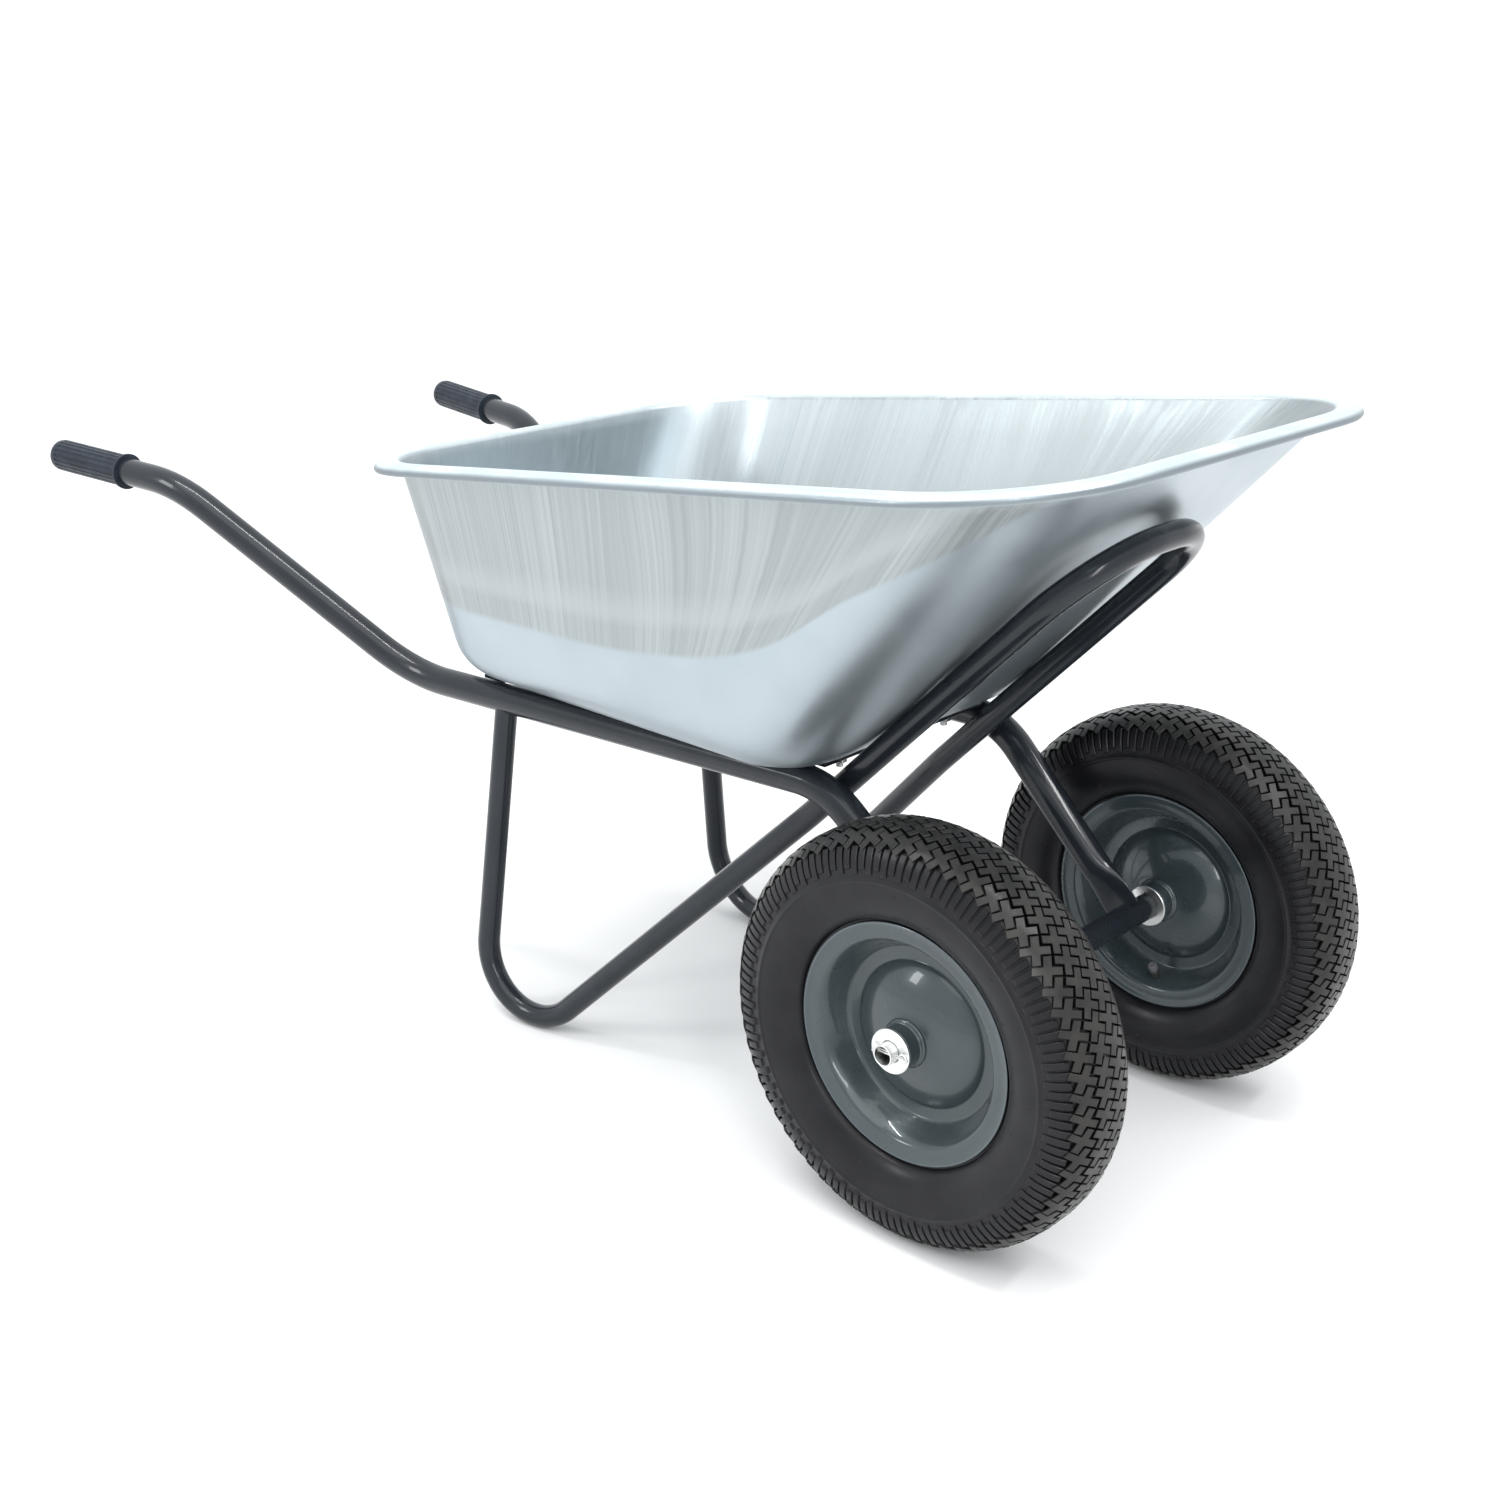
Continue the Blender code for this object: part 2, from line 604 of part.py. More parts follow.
def add_axle(root):
    """The axle, the tube that it is welded in, its washers and its split pins."""
    axle_line = add_empty("axle_line", (0, 0, TYRE_RADIUS), root)
    tube = sleeve_mesh("axle_tube", LUG_TIP_RADIUS, AXLE_RADIUS + FIT_GAP, -AXLE_TUBE_END, AXLE_TUBE_END)
    add_piece("axle_tube", tube, "frame_paint", axle_line)
    shaft = sleeve_mesh("axle", AXLE_RADIUS, AXLE_RADIUS - AXLE_WALL, -AXLE_END, AXLE_END)
    axle = add_piece("axle", shaft, "zinc_plate", axle_line)
    bore = AXLE_RADIUS + RUN_GAP
    for side_name, side in SIDES:
        for place, face in (("inner", AXLE_TUBE_END + FIT_GAP), ("outer", HUB_OUTER_Y + FIT_GAP)):
            name = f"{place}_axle_washer_{side_name}"
            ends = sorted((side * face, side * (face + WASHER_THICKNESS)))
            add_piece(name, sleeve_mesh(name, WASHER_RADIUS, bore, *ends), "zinc_plate", axle_line)
        add_split_pin(side_name, side, axle_line, axle)


def add_split_pin(side_name, side, axle_line, axle):
    """A split pin bent from one wire: an eye, two legs through the axle and spread tips."""
    stack = PIN_HALF_SPACING + PIN_WIRE_RADIUS
    pin_y = side * (HUB_OUTER_Y + 3 * FIT_GAP + WASHER_THICKNESS + stack)
    front = AXLE_RADIUS + 0.0025
    eye = 0.0040
    tip = -AXLE_RADIUS - 0.0080
    leg = [Vector((tip, pin_y, 3.2 * PIN_HALF_SPACING))]
    leg.append(Vector((-AXLE_RADIUS - 0.0020, pin_y, PIN_HALF_SPACING)))
    leg.append(Vector((front, pin_y, PIN_HALF_SPACING)))
    bow = []
    bow_steps = 6
    first_turn = atan2(PIN_HALF_SPACING, eye)
    for step in range(bow_steps + 1):
        angle = first_turn + (2 * pi - 2 * first_turn) * step / bow_steps
        bow.append(Vector((front + eye - eye * cos(angle), pin_y, eye * sin(angle))))
    path = leg + bow[1:-1] + [Vector((p.x, p.y, -p.z)) for p in reversed(leg)]
    tangents = path_tangents(path)
    sides = carried_sides(path, tangents, Vector((0, 1, 0)))
    rings = [tube_ring(p, t, s, PIN_WIRE_RADIUS, PIN_WIRE_RADIUS, 6) for p, t, s in zip(path, tangents, sides)]
    name = "split_pin_" + side_name
    mesh = mesh_from_rings(name, rings, cap_first=True, cap_last=True)
    add_piece(name, mesh, "zinc_plate", axle_line)
    reach = Vector((AXLE_RADIUS * 2, 0, 0))
    centre = Vector((0, pin_y, 0))
    hole = rod_between("pin_hole_" + side_name, centre - reach, centre + reach, stack + FIT_GAP, 12)
    cut(axle, add_cutter("pin_hole_" + side_name, hole, axle_line))


def rim_half_mesh(name, face):
    """One pressed rim half round local Y: hub collar, dome, plate, well and flange."""
    plate = RIM_SHEET + FIT_GAP / 2
    collar = HUB_RADIUS + FIT_GAP + RIM_SHEET / 2
    dome_run = RIM_PLATE_INNER - collar
    seat = RIM_RADIUS - RIM_FLANGE_HEIGHT
    well_run = seat - RIM_PLATE_OUTER
    profile = [
        (collar, plate + DISH_RISE + RIM_SHEET),
        (collar + 0.12 * dome_run, plate + 0.93 * DISH_RISE),
        (collar + 0.58 * dome_run, plate + 0.60 * DISH_RISE),
        (RIM_PLATE_INNER, plate),
        (RIM_PLATE_OUTER, plate),
        (RIM_PLATE_OUTER + 0.55 * well_run, plate + 0.45 * (RIM_HALF_WIDTH - plate)),
        (seat, RIM_HALF_WIDTH - 1.4 * RIM_SHEET),
        (seat + 0.25 * RIM_FLANGE_HEIGHT, RIM_HALF_WIDTH - 0.2 * RIM_SHEET),
        (RIM_RADIUS, RIM_HALF_WIDTH),
    ]
    rings = []
    for step in range(WHEEL_SEGMENTS):
        angle = 2 * pi * (step + 0.5) / WHEEL_SEGMENTS
        rings.append([(r * sin(angle), face * along, r * cos(angle)) for r, along in profile])
    shape = bmesh.new()
    rows = [[shape.verts.new(point) for point in ring] for ring in rings]
    for i, row in enumerate(rows):
        after = rows[(i + 1) % len(rows)]
        for j in range(len(row) - 1):
            corners = (row[j], row[j + 1], after[j + 1], after[j])
            shape.faces.new(corners if face > 0 else corners[::-1])
    mesh = bpy.data.meshes.new(name)
    shape.to_mesh(mesh)
    shape.free()
    return mesh


def tyre_profile():
    """The closed section of the tyre as (radius, along) points, from one bead to the other."""
    half = TYRE_WIDTH / 2
    bead = RIM_HALF_WIDTH - 1.4 * RIM_SHEET - 3 * FIT_GAP
    seat = RIM_RADIUS - RIM_FLANGE_HEIGHT + RIM_SHEET + 3 * FIT_GAP
    depth = TYRE_RADIUS - RIM_RADIUS
    outer = [
        (seat, bead),
        (RIM_RADIUS + 5 * FIT_GAP, bead),
        (RIM_RADIUS + 0.16 * depth, bead + 0.55 * (half - bead)),
        (RIM_RADIUS + 0.45 * depth, half),
        (RIM_RADIUS + 0.80 * depth, half * 0.92),
        (TYRE_RADIUS - 0.0040, half * 0.66),
        (TYRE_RADIUS / cos(pi / TYRE_SEGMENTS), half * 0.25),
    ]
    inner = [
        (TYRE_RADIUS - TREAD_WALL, half * 0.25),
        (RIM_RADIUS + 0.78 * depth, half * 0.92 - TYRE_WALL * 0.9),
        (RIM_RADIUS + 0.40 * depth, half - TYRE_WALL),
        (seat, bead - TYRE_WALL),
    ]
    left = outer + [(r, -along) for r, along in reversed(outer)]
    return left + [(r, -along) for r, along in reversed(inner)] + inner


def tube_profile(inset):
    """The inner tube's oval section, this much inside its outer skin."""
    low = RIM_RADIUS - 0.001
    high = TYRE_RADIUS - TREAD_WALL - 0.004
    half = TYRE_WIDTH / 2 - TYRE_WALL - 0.004
    centre = (low + high) / 2
    points = []
    steps = 8
    for step in range(steps):
        angle = 2 * pi * step / steps
        radial = ((high - low) / 2 - inset) * cos(angle)
        points.append((centre + radial, (half - inset) * sin(angle)))
    return points


def add_inner_tube(name, centre, valve_cutter):
    """The inflated tube: a hollow ring that opens only where its valve is moulded in."""
    skin = turned_mesh(name, tube_profile(0.0), AIR_SEGMENTS)
    air = turned_mesh(name + "_air", tube_profile(TUBE_WALL), AIR_SEGMENTS)
    tube = add_piece(name, skin, "rubber", centre)
    cut(tube, add_cutter(name + "_air", air, centre))
    cut(tube, valve_cutter)


def add_valve(side_name, side, centre, rim_half):
    """The valve stem from the inner tube through the inboard rim half, with its cap."""
    root_point = Vector((0, 0, -RIM_RADIUS - 0.006))
    well = RIM_PLATE_OUTER + 0.55 * (RIM_RADIUS - RIM_FLANGE_HEIGHT - RIM_PLATE_OUTER)
    exit_point = Vector((0, -side * (RIM_SHEET + 0.45 * RIM_HALF_WIDTH), -well))
    direction = (exit_point - root_point).normalized()
    to_well = (exit_point - root_point).length
    turn = direction.to_track_quat("Z", "Y").to_matrix().to_4x4()
    place = Matrix.Translation(root_point) @ turn
    stem_end = to_well + 0.018
    cap_start = stem_end - 0.004
    stem_profile = [
        (VALVE_RADIUS, 0.0),
        (VALVE_RADIUS, to_well + 0.010),
        (VALVE_RADIUS * 0.7, to_well + 0.012),
        (VALVE_RADIUS * 0.7, stem_end),
    ]
    stem = solid_of_rings("valve_stem_" + side_name, stem_profile, 10)
    cap_bore = VALVE_RADIUS * 0.7 + FIT_GAP
    cap_end = stem_end + 0.003
    cap_profile = [
        (cap_bore, stem_end + FIT_GAP),
        (cap_bore, cap_start),
        (VALVE_CAP_RADIUS, cap_start),
        (VALVE_CAP_RADIUS, cap_end - 0.001),
        (VALVE_CAP_RADIUS - 0.001, cap_end),
    ]
    cap = solid_of_rings("valve_cap_" + side_name, cap_profile, 10)
    hole_profile = [(VALVE_RADIUS + FIT_GAP, -0.004), (VALVE_RADIUS + FIT_GAP, to_well + 0.006)]
    hole = solid_of_rings("valve_hole_" + side_name, hole_profile, 10)
    for mesh in (stem, cap, hole):
        mesh.transform(place)
    add_piece("valve_stem_" + side_name, stem, "rubber", centre)
    add_piece("valve_cap_" + side_name, cap, "nylon", centre)
    cutter = add_cutter("valve_hole_" + side_name, hole, centre)
    cut(rim_half, cutter)
    return cutter


def add_wheel(side_name, side, root):
    """A wheel on its own axis: tyre, inner tube, two rim halves, hub and two bushes."""
    centre = add_empty("wheel_centre_" + side_name, (0, side * TRACK / 2, TYRE_RADIUS), root)
    tyre = turned_mesh("tyre_" + side_name, tyre_profile(), TYRE_SEGMENTS)
    add_piece("tyre_" + side_name, tyre, "rubber", centre)
    halves = {}
    for place, face in (("outer", side), ("inner", -side)):
        name = f"rim_{place}_half_{side_name}"
        halves[place] = add_piece(name, rim_half_mesh(name, face), "rim_paint", centre)
        sheet = halves[place].modifiers.new("sheet", "SOLIDIFY")
        sheet.thickness = RIM_SHEET
        sheet.offset = -1.0
    cutter = add_valve(side_name, side, centre, halves["inner"])
    add_inner_tube("inner_tube_" + side_name, centre, cutter)
    half = HUB_LENGTH / 2
    bore = HUB_RADIUS - HUB_WALL
    hub = sleeve_mesh("hub_" + side_name, HUB_RADIUS, bore, -half, half, WHEEL_SEGMENTS)
    add_piece("hub_" + side_name, hub, "rim_paint", centre)
    for place, face in (("outer", side), ("inner", -side)):
        name = f"hub_bush_{place}_{side_name}"
        ends = sorted((face * half, face * (half - BUSH_LENGTH)))
        bush = sleeve_mesh(name, bore - FIT_GAP, AXLE_RADIUS + RUN_GAP, *ends, WHEEL_SEGMENTS)
        add_piece(name, bush, "nylon", centre)


def main():
    clear_scene()
    root = add_empty("wheelbarrow", (LENGTH / 2 - TYRE_RADIUS, 0, 0))
    bolt_cutters = []
    for bar_name, bar_x in (("rear_cross_bar", REAR_BAR_X), ("front_cross_bar", FRONT_BAR_X)):
        bolt_cutters += add_bar_and_bolts(bar_name, bar_x, root)
    add_tray(root, bolt_cutters)
    add_leg_loop(root)
    add_axle(root)
    for side_name, side in SIDES:
        add_main_tube(side_name, side, root)
        add_grip(side_name, side, root)
        add_wheel(side_name, side, root)


main()
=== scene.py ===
"""The looks of a builder's wheelbarrow: a zinc-coated tray on a dark grey tube frame, with two
pneumatic wheels side by side on a fixed axle. X points forward, Y to the user's left and Z up."""

from math import atan, atan2, cos, pi, radians, sin, sqrt, tan

import bpy
from mathutils import Matrix, Vector


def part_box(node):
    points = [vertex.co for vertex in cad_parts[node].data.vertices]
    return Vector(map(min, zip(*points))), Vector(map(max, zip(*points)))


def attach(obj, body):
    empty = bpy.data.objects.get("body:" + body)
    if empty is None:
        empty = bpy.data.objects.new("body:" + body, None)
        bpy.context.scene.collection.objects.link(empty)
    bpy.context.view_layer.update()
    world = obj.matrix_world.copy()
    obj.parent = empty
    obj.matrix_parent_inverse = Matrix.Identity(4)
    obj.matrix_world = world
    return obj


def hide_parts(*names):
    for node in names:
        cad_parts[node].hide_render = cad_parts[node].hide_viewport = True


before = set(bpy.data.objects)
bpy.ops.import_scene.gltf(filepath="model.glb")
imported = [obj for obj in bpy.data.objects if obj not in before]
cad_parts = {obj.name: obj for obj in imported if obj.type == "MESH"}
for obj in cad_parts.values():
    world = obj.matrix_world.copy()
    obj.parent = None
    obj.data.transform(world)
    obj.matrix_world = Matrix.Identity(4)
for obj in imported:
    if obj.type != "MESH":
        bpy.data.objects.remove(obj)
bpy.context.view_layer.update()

# ---------------------------------------------------------------- sizes, in metres
SIDES = (("left", 1), ("right", -1))
tyre_low, tyre_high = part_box("tyre_left")
AXLE = Vector(((tyre_low.x + tyre_high.x) / 2, 0, (tyre_low.z + tyre_high.z) / 2))
WHEEL_Y = (tyre_low.y + tyre_high.y) / 2  # the middle plane of the left wheel
TYRE_RADIUS = (tyre_high.z - tyre_low.z) / 2

MAIN_RADIUS = 0.016
LOOP_RADIUS = 0.0125
HANDLE_BENDS = (0.154, 0.158, 0.095)
FOOT_BEND = 0.0705
CROSSING_BEND = 0.120
NOSE_BEND = 0.0906
PRESSED_LENGTH = 0.070
PRESSED_STEP = 0.0105
# how thick and how wide the main tube is at each step of its pressed end, as shares of its round
PRESSED_SHAPE = ((0.93, 1.02), (0.72, 1.10), (0.44, 1.22), (0.24, 1.30), (0.18, 1.32), (0.18, 1.32))
GRIP_POINT = Vector((-1.2677, 0.2944, 0.5668))
HANDLE_BEND = Vector((-1.0596, 0.2671, 0.5555))
REAR_BEND = Vector((-0.7775, 0.1583, 0.3600))
FRONT_BEND = Vector((-0.1738, 0.1348, 0.3711))
LUG_POINT = Vector((0.0, 0.1279, 0.2))
LOOP_CROSSING = Vector((-0.2249, 0.1051, 0.3196))
LOOP_NOSE = Vector((0.0885, 0.1001, 0.6305))
LOOP_FOOT = Vector((-0.6417, 0.2076, 0.0))
LEG_X = -0.6229

RAIL_SLOPE = atan2(FRONT_BEND.z - REAR_BEND.z, FRONT_BEND.x - REAR_BEND.x)
ON_RAILS = Matrix.Rotation(-RAIL_SLOPE, 4, "Y")
MERGE_GAP = 1e-5


# ---------------------------------------------------------------- modelling helpers
def shifted(point, side=1):
    """A point given from the axle's middle on the left side, placed in the model on either side."""
    return Vector((point.x + AXLE.x, point.y * side, point.z))


def deselect():
    """Leaves nothing selected, in object mode."""
    if bpy.context.mode != "OBJECT":
        bpy.ops.object.mode_set(mode="OBJECT")
    bpy.ops.object.select_all(action="DESELECT")


def pick(piece):
    """Makes one piece the active one, with nothing else selected."""
    deselect()
    bpy.context.view_layer.objects.active = piece
    piece.select_set(True)


def new_object(name):
    """The primitive that was just added, under its own name, with its place put in its mesh."""
    piece = bpy.context.active_object
    piece.name = name
    piece.data.name = name
    bpy.ops.object.transform_apply(location=True, rotation=True, scale=True)
    return piece


def select_all(action="SELECT"):
    bpy.ops.mesh.select_all(action=action)


def edit(piece):
    """Opens one piece for editing with everything in it selected."""
    pick(piece)
    bpy.ops.object.mode_set(mode="EDIT")
    bpy.ops.mesh.select_mode(type="VERT")
    select_all()


def done_editing():
    bpy.ops.object.mode_set(mode="OBJECT")


def select_verts(piece, wanted):
    """In edit mode, selects the vertices whose place passes the test, and nothing else."""
    select_all("DESELECT")
    bpy.ops.mesh.select_mode(type="VERT")
    bpy.ops.object.mode_set(mode="OBJECT")
    for vertex in piece.data.vertices:
        vertex.select = bool(wanted(vertex.co))
    bpy.ops.object.mode_set(mode="EDIT")


def select_faces(piece, wanted):
    """In edit mode, selects the faces that pass the test, and nothing else."""
    select_all("DESELECT")
    bpy.ops.mesh.select_mode(type="FACE")
    bpy.ops.object.mode_set(mode="OBJECT")
    for face in piece.data.polygons:
        face.select = bool(wanted(face))
    bpy.ops.object.mode_set(mode="EDIT")


def move(offset):
    bpy.ops.transform.translate(value=offset)


def extrude(offset):
    bpy.ops.mesh.extrude_region_move(TRANSFORM_OT_translate={"value": offset})


def apply_modifier(piece, kind, **settings):
    """Adds a modifier with these settings and applies it."""
    pick(piece)
    modifier = piece.modifiers.new(kind.lower(), kind)
    for name, value in settings.items():
        setattr(modifier, name, value)
    bpy.ops.object.modifier_apply(modifier=modifier.name)


def smooth(piece, angle):
    pick(piece)
    bpy.ops.object.shade_smooth_by_angle(angle=radians(angle))


def face_outward(piece):
    """Merges doubled points and turns every face to the outside."""
    edit(piece)
    bpy.ops.mesh.remove_doubles(threshold=MERGE_GAP)
    bpy.ops.mesh.normals_make_consistent(inside=False)
    done_editing()


def close_up(piece, angle):
    """Ends the work on a piece's mesh: its faces outward, and smooth where they meet flatly."""
    face_outward(piece)
    smooth(piece, angle)


def join(pieces, name):
    """Makes one object of several."""
    deselect()
    for piece in pieces:
        piece.select_set(True)
    bpy.context.view_layer.objects.active = pieces[0]
    bpy.ops.object.join()
    pieces[0].name = name
    pieces[0].data.name = name
    return pieces[0]


def mark_points(piece, name, value_of):
    """Gives each point of a piece a number, from a function of the vertex."""
    marks = piece.data.attributes.new(name, "FLOAT", "POINT")
    for vertex, mark in zip(piece.data.vertices, marks.data):
        mark.value = value_of(vertex)


def copy_of(piece, name):
    """A copy with a mesh of its own."""
    twin = piece.copy()
    twin.data = piece.data.copy()
    twin.name = name
    twin.data.name = name
    bpy.context.scene.collection.objects.link(twin)
    return twin


def place(piece, matrix):
    """Puts a piece somewhere, with the move in its mesh."""
    pick(piece)
    piece.matrix_world = matrix
    bpy.ops.object.transform_apply(location=True, rotation=True, scale=True)
    return piece


def hand_over(piece, body, slot, material, *nodes):
    """Gives a finished piece its material and puts it on its body, and hides the CAD nodes it stands
    for. The argument slot is not used.
    """
    piece.data.materials.clear()
    piece.data.materials.append(material)
    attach(piece, body)
    if nodes:
        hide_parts(*nodes)


def circle(name, vertices, radius, location=(0, 0, 0), rotation=(0, 0, 0)):
    """A filled circle, open for editing."""
    deselect()
    bpy.ops.mesh.primitive_circle_add(
        vertices=vertices, radius=radius, location=location, rotation=rotation, fill_type="NGON"
    )
    piece = new_object(name)
    edit(piece)
    return piece


def ring_stack(rings, radius, here=0.0):
    """Extrudes an open circle up through rings of (radius, height) and closes the last one."""
    for wide, height in rings:
        extrude((0, 0, height - here))
        bpy.ops.transform.resize(value=(wide / radius, wide / radius, 1), center_override=(0, 0, 0))
        radius, here = wide, height
    bpy.ops.mesh.edge_face_add()


def drawn_line(name, points, closed):
    """A chain of edges through (x, y, z) points, drawn by extruding one vertex."""
    deselect()
    bpy.ops.mesh.primitive_plane_add(size=0.001, location=points[0])
    piece = new_object(name)
    edit(piece)
    bpy.ops.mesh.merge(type="CENTER")
    for before, after in zip(points, points[1:]):
        extrude(tuple(b - a for a, b in zip(before, after)))
    if closed:
        extrude(tuple(b - a for a, b in zip(points[-1], points[0])))
        select_all()
        bpy.ops.mesh.remove_doubles(threshold=1e-6)
    return piece


def turned(name, profile, centre, side=1, segments=96, closed=True, angle=35):
    """Turns a profile of (radius, outward) points round the axle's line at a place along it."""
    points = [(centre.x, centre.y + side * out, centre.z + r) for r, out in profile]
    piece = drawn_line(name, points, closed)
    select_all()
    bpy.ops.mesh.spin(steps=segments, angle=2 * pi, center=centre, axis=(0, 1, 0))
    close_up(piece, angle)
    return piece


def bent_tube(name, corners, bend_radii, radius, sides=40, step=radians(4)):
    """A tube along straight runs and round bends, as on a tube bender. It stays open at its end
    ring, which is left selected in edit mode."""
    heading = (corners[1] - corners[0]).normalized()
    turn = heading.to_track_quat("Z", "X").to_euler()
    here = corners[0]
    piece = circle(name, sides, radius, here, turn)
    for corner, after, bend in zip(corners[1:], corners[2:], bend_radii):
        leaving = (after - corner).normalized()
        angle = heading.angle(leaving)
        tangent = bend * tan(angle / 2)
        start = corner - heading * tangent
        extrude(start - here)
        centre = start + (leaving - heading * leaving.dot(heading)).normalized() * bend
        axis = heading.cross(leaving).normalized()
        steps = max(2, round(angle / step))
        bpy.ops.mesh.spin(steps=steps, angle=-angle, center=centre, axis=axis)
        here = corner + leaving * tangent
        heading = leaving
    extrude(corners[-1] - here)
    return piece


# ---------------------------------------------------------------- materials
def add_node(tree, kind, **values):
    """Adds a node with these settings of its own."""
    node = tree.nodes.new(kind)
    for name, value in values.items():
        setattr(node, name, value)
    return node


def math_node(operation, first, second):
    """A Math node on a socket and a second socket or number, giving its output socket."""
    tree = first.id_data
    node = add_node(tree, "ShaderNodeMath", operation=operation)
    for socket, value in zip(node.inputs, (first, second)):
        if isinstance(value, float):
            socket.default_value = value
        else:
            tree.links.new(value, socket)
    return node.outputs[0]


def mix_colour(factor, first, second):
    """Mixes two colours, each a socket or a colour, by a factor socket."""
    tree = factor.id_data
    node = add_node(tree, "ShaderNodeMix", data_type="RGBA")
    for socket, value in ((node.inputs[0], factor), (node.inputs[6], first), (node.inputs[7], second)):
        if isinstance(value, tuple):
            socket.default_value = (*value, 1)
        else:
            tree.links.new(value, socket)
    return node.outputs[2]


def ranged(value, low, high, to_low=0.0, to_high=1.0, kind="LINEAR"):
    """Maps a socket's values from one range to another, held at the ends."""
    tree = value.id_data
    node = add_node(tree, "ShaderNodeMapRange", interpolation_type=kind)
    tree.links.new(value, node.inputs[0])
    for socket, number in zip(node.inputs[1:5], (low, high, to_low, to_high)):
        socket.default_value = number
    return node.outputs[0]


def new_group(name, output, **inputs):
    """An empty shader node group for numbers: the group, its input and output nodes, and the socket
    that gives a point's place on the object."""
    group = bpy.data.node_groups.new(name, "ShaderNodeTree")
    for label, value in inputs.items():
        socket = group.interface.new_socket(label, in_out="INPUT", socket_type="NodeSocketFloat")
        socket.default_value = value
    group.interface.new_socket(output, in_out="OUTPUT", socket_type="NodeSocketFloat")
    start, end = group.nodes.new("NodeGroupInput"), group.nodes.new("NodeGroupOutput")
    return group, start, end, group.nodes.new("ShaderNodeTexCoord").outputs["Object"]


def noise_in(group, start, spot, detail):
    """Noise over the object at the group's own scale."""
    noise = add_node(group, "ShaderNodeTexNoise")
    noise.inputs["Detail"].default_value = detail
    group.links.new(spot, noise.inputs["Vector"])
    group.links.new(start.outputs["Scale"], noise.inputs["Scale"])
    return noise.outputs["Fac"]


def mottle_group():
    """Soft uneven patches over a finish, between two values."""
    group, start, end, spot = new_group("finish_mottle", "Value", Scale=20.0, Low=0.0, High=1.0)
    noise = noise_in(group, start, spot, 4)
    spread = ranged(noise, 0.32, 0.68, kind="SMOOTHSTEP")
    group.links.new(start.outputs["Low"], spread.node.inputs[3])
    group.links.new(start.outputs["High"], spread.node.inputs[4])
    group.links.new(spread, end.inputs["Value"])
    return group


def grain_group():
    """A fine surface grain, as a height for a Bump node: orange peel, sand or moulding skin."""
    group, start, end, spot = new_group("surface_grain", "Height", Scale=900.0, Height=1.0)
    height = math_node("MULTIPLY", noise_in(group, start, spot, 2), 1.0)
    group.links.new(start.outputs["Height"], height.node.inputs[1])
    group.links.new(height, end.inputs["Height"])
    return group


def axle_radius_group():
    """The distance of a point from the line through both wheels' middles."""
    group, _, end, spot = new_group("distance_from_axle", "Radius")
    centred = group.nodes.new("ShaderNodeMapping")
    centred.inputs["Location"].default_value = (-AXLE.x, 0, -AXLE.z)
    centred.inputs["Scale"].default_value = (1, 0, 1)
    length = add_node(group, "ShaderNodeVectorMath", operation="LENGTH")
    group.links.new(spot, centred.inputs["Vector"])
    group.links.new(centred.outputs[0], length.inputs[0])
    group.links.new(length.outputs["Value"], end.inputs["Radius"])
    return group


MOTTLE = mottle_group()
GRAIN = grain_group()
FROM_AXLE = axle_radius_group()


def use_group(tree, group, **values):
    node = tree.nodes.new("ShaderNodeGroup")
    node.node_tree = group
    for name, value in values.items():
        node.inputs[name].default_value = value
    return node.outputs[0]


def add_bump(shader, height, strength, distance):
    """Feeds a height into the shader's normal."""
    tree = shader.id_data
    bump = tree.nodes.new("ShaderNodeBump")
    bump.inputs["Strength"].default_value = strength
    bump.inputs["Distance"].default_value = distance
    tree.links.new(height, bump.inputs["Height"])
    tree.links.new(bump.outputs[0], shader.inputs["Normal"])


def finish(name, colour, roughness, gloss=None, patches=None, grain=None, **settings):
    """A material, its node tree and its shader. Its gloss and its colour vary softly between two
    values, each given as (scale, low, high), and its grain is (scale, strength, distance)."""
    material = bpy.data.materials.new(name)
    material.use_nodes = True
    tree = material.node_tree
    shader = tree.nodes["Principled BSDF"]
    shader.inputs["Base Color"].default_value = (*colour, 1)
    shader.inputs["Roughness"].default_value = roughness
    for label, value in settings.items():
        shader.inputs[SHADER_INPUTS[label]].default_value = value
    if gloss:
        scale, low, high = gloss
        spots = use_group(tree, MOTTLE, Scale=scale, Low=low, High=high)
        tree.links.new(spots, shader.inputs["Roughness"])
    if patches:
        scale, dark, light = patches
        spots = use_group(tree, MOTTLE, Scale=scale)
        tree.links.new(mix_colour(spots, dark, light), shader.inputs["Base Color"])
    if grain:
        scale, strength, distance = grain
        add_bump(shader, use_group(tree, GRAIN, Scale=scale), strength, distance)
    return material, tree, shader


SHADER_INPUTS = {
    "metallic": "Metallic", "specular": "Specular IOR Level", "coat": "Coat Weight",
    "coat_roughness": "Coat Roughness",
}


def rim_paint():
    """Blue-grey metallic wheel paint with a clear gloss, and a painted highlight that makes the
    flange's edge paler.
    """
    material, tree, shader = finish(
        "rim_metallic_paint", (0.06, 0.078, 0.085), 0.3, (30.0, 0.26, 0.34),
        (12.0, (0.033, 0.046, 0.051), (0.040, 0.054, 0.059)), (500.0, 0.03, 0.0003),
        metallic=0.3, specular=0.3, coat=0.5, coat_roughness=0.05,
    )
    colour = shader.inputs["Base Color"]
    # Painted highlight: the flange's rolled edge is mixed toward a paler blue-grey.
    edge = ranged(use_group(tree, FROM_AXLE), 0.1122, 0.1146, 0.0, 0.35)
    body = colour.links[0].from_socket
    tree.links.new(mix_colour(edge, body, (0.20, 0.235, 0.25)), colour)
    return material


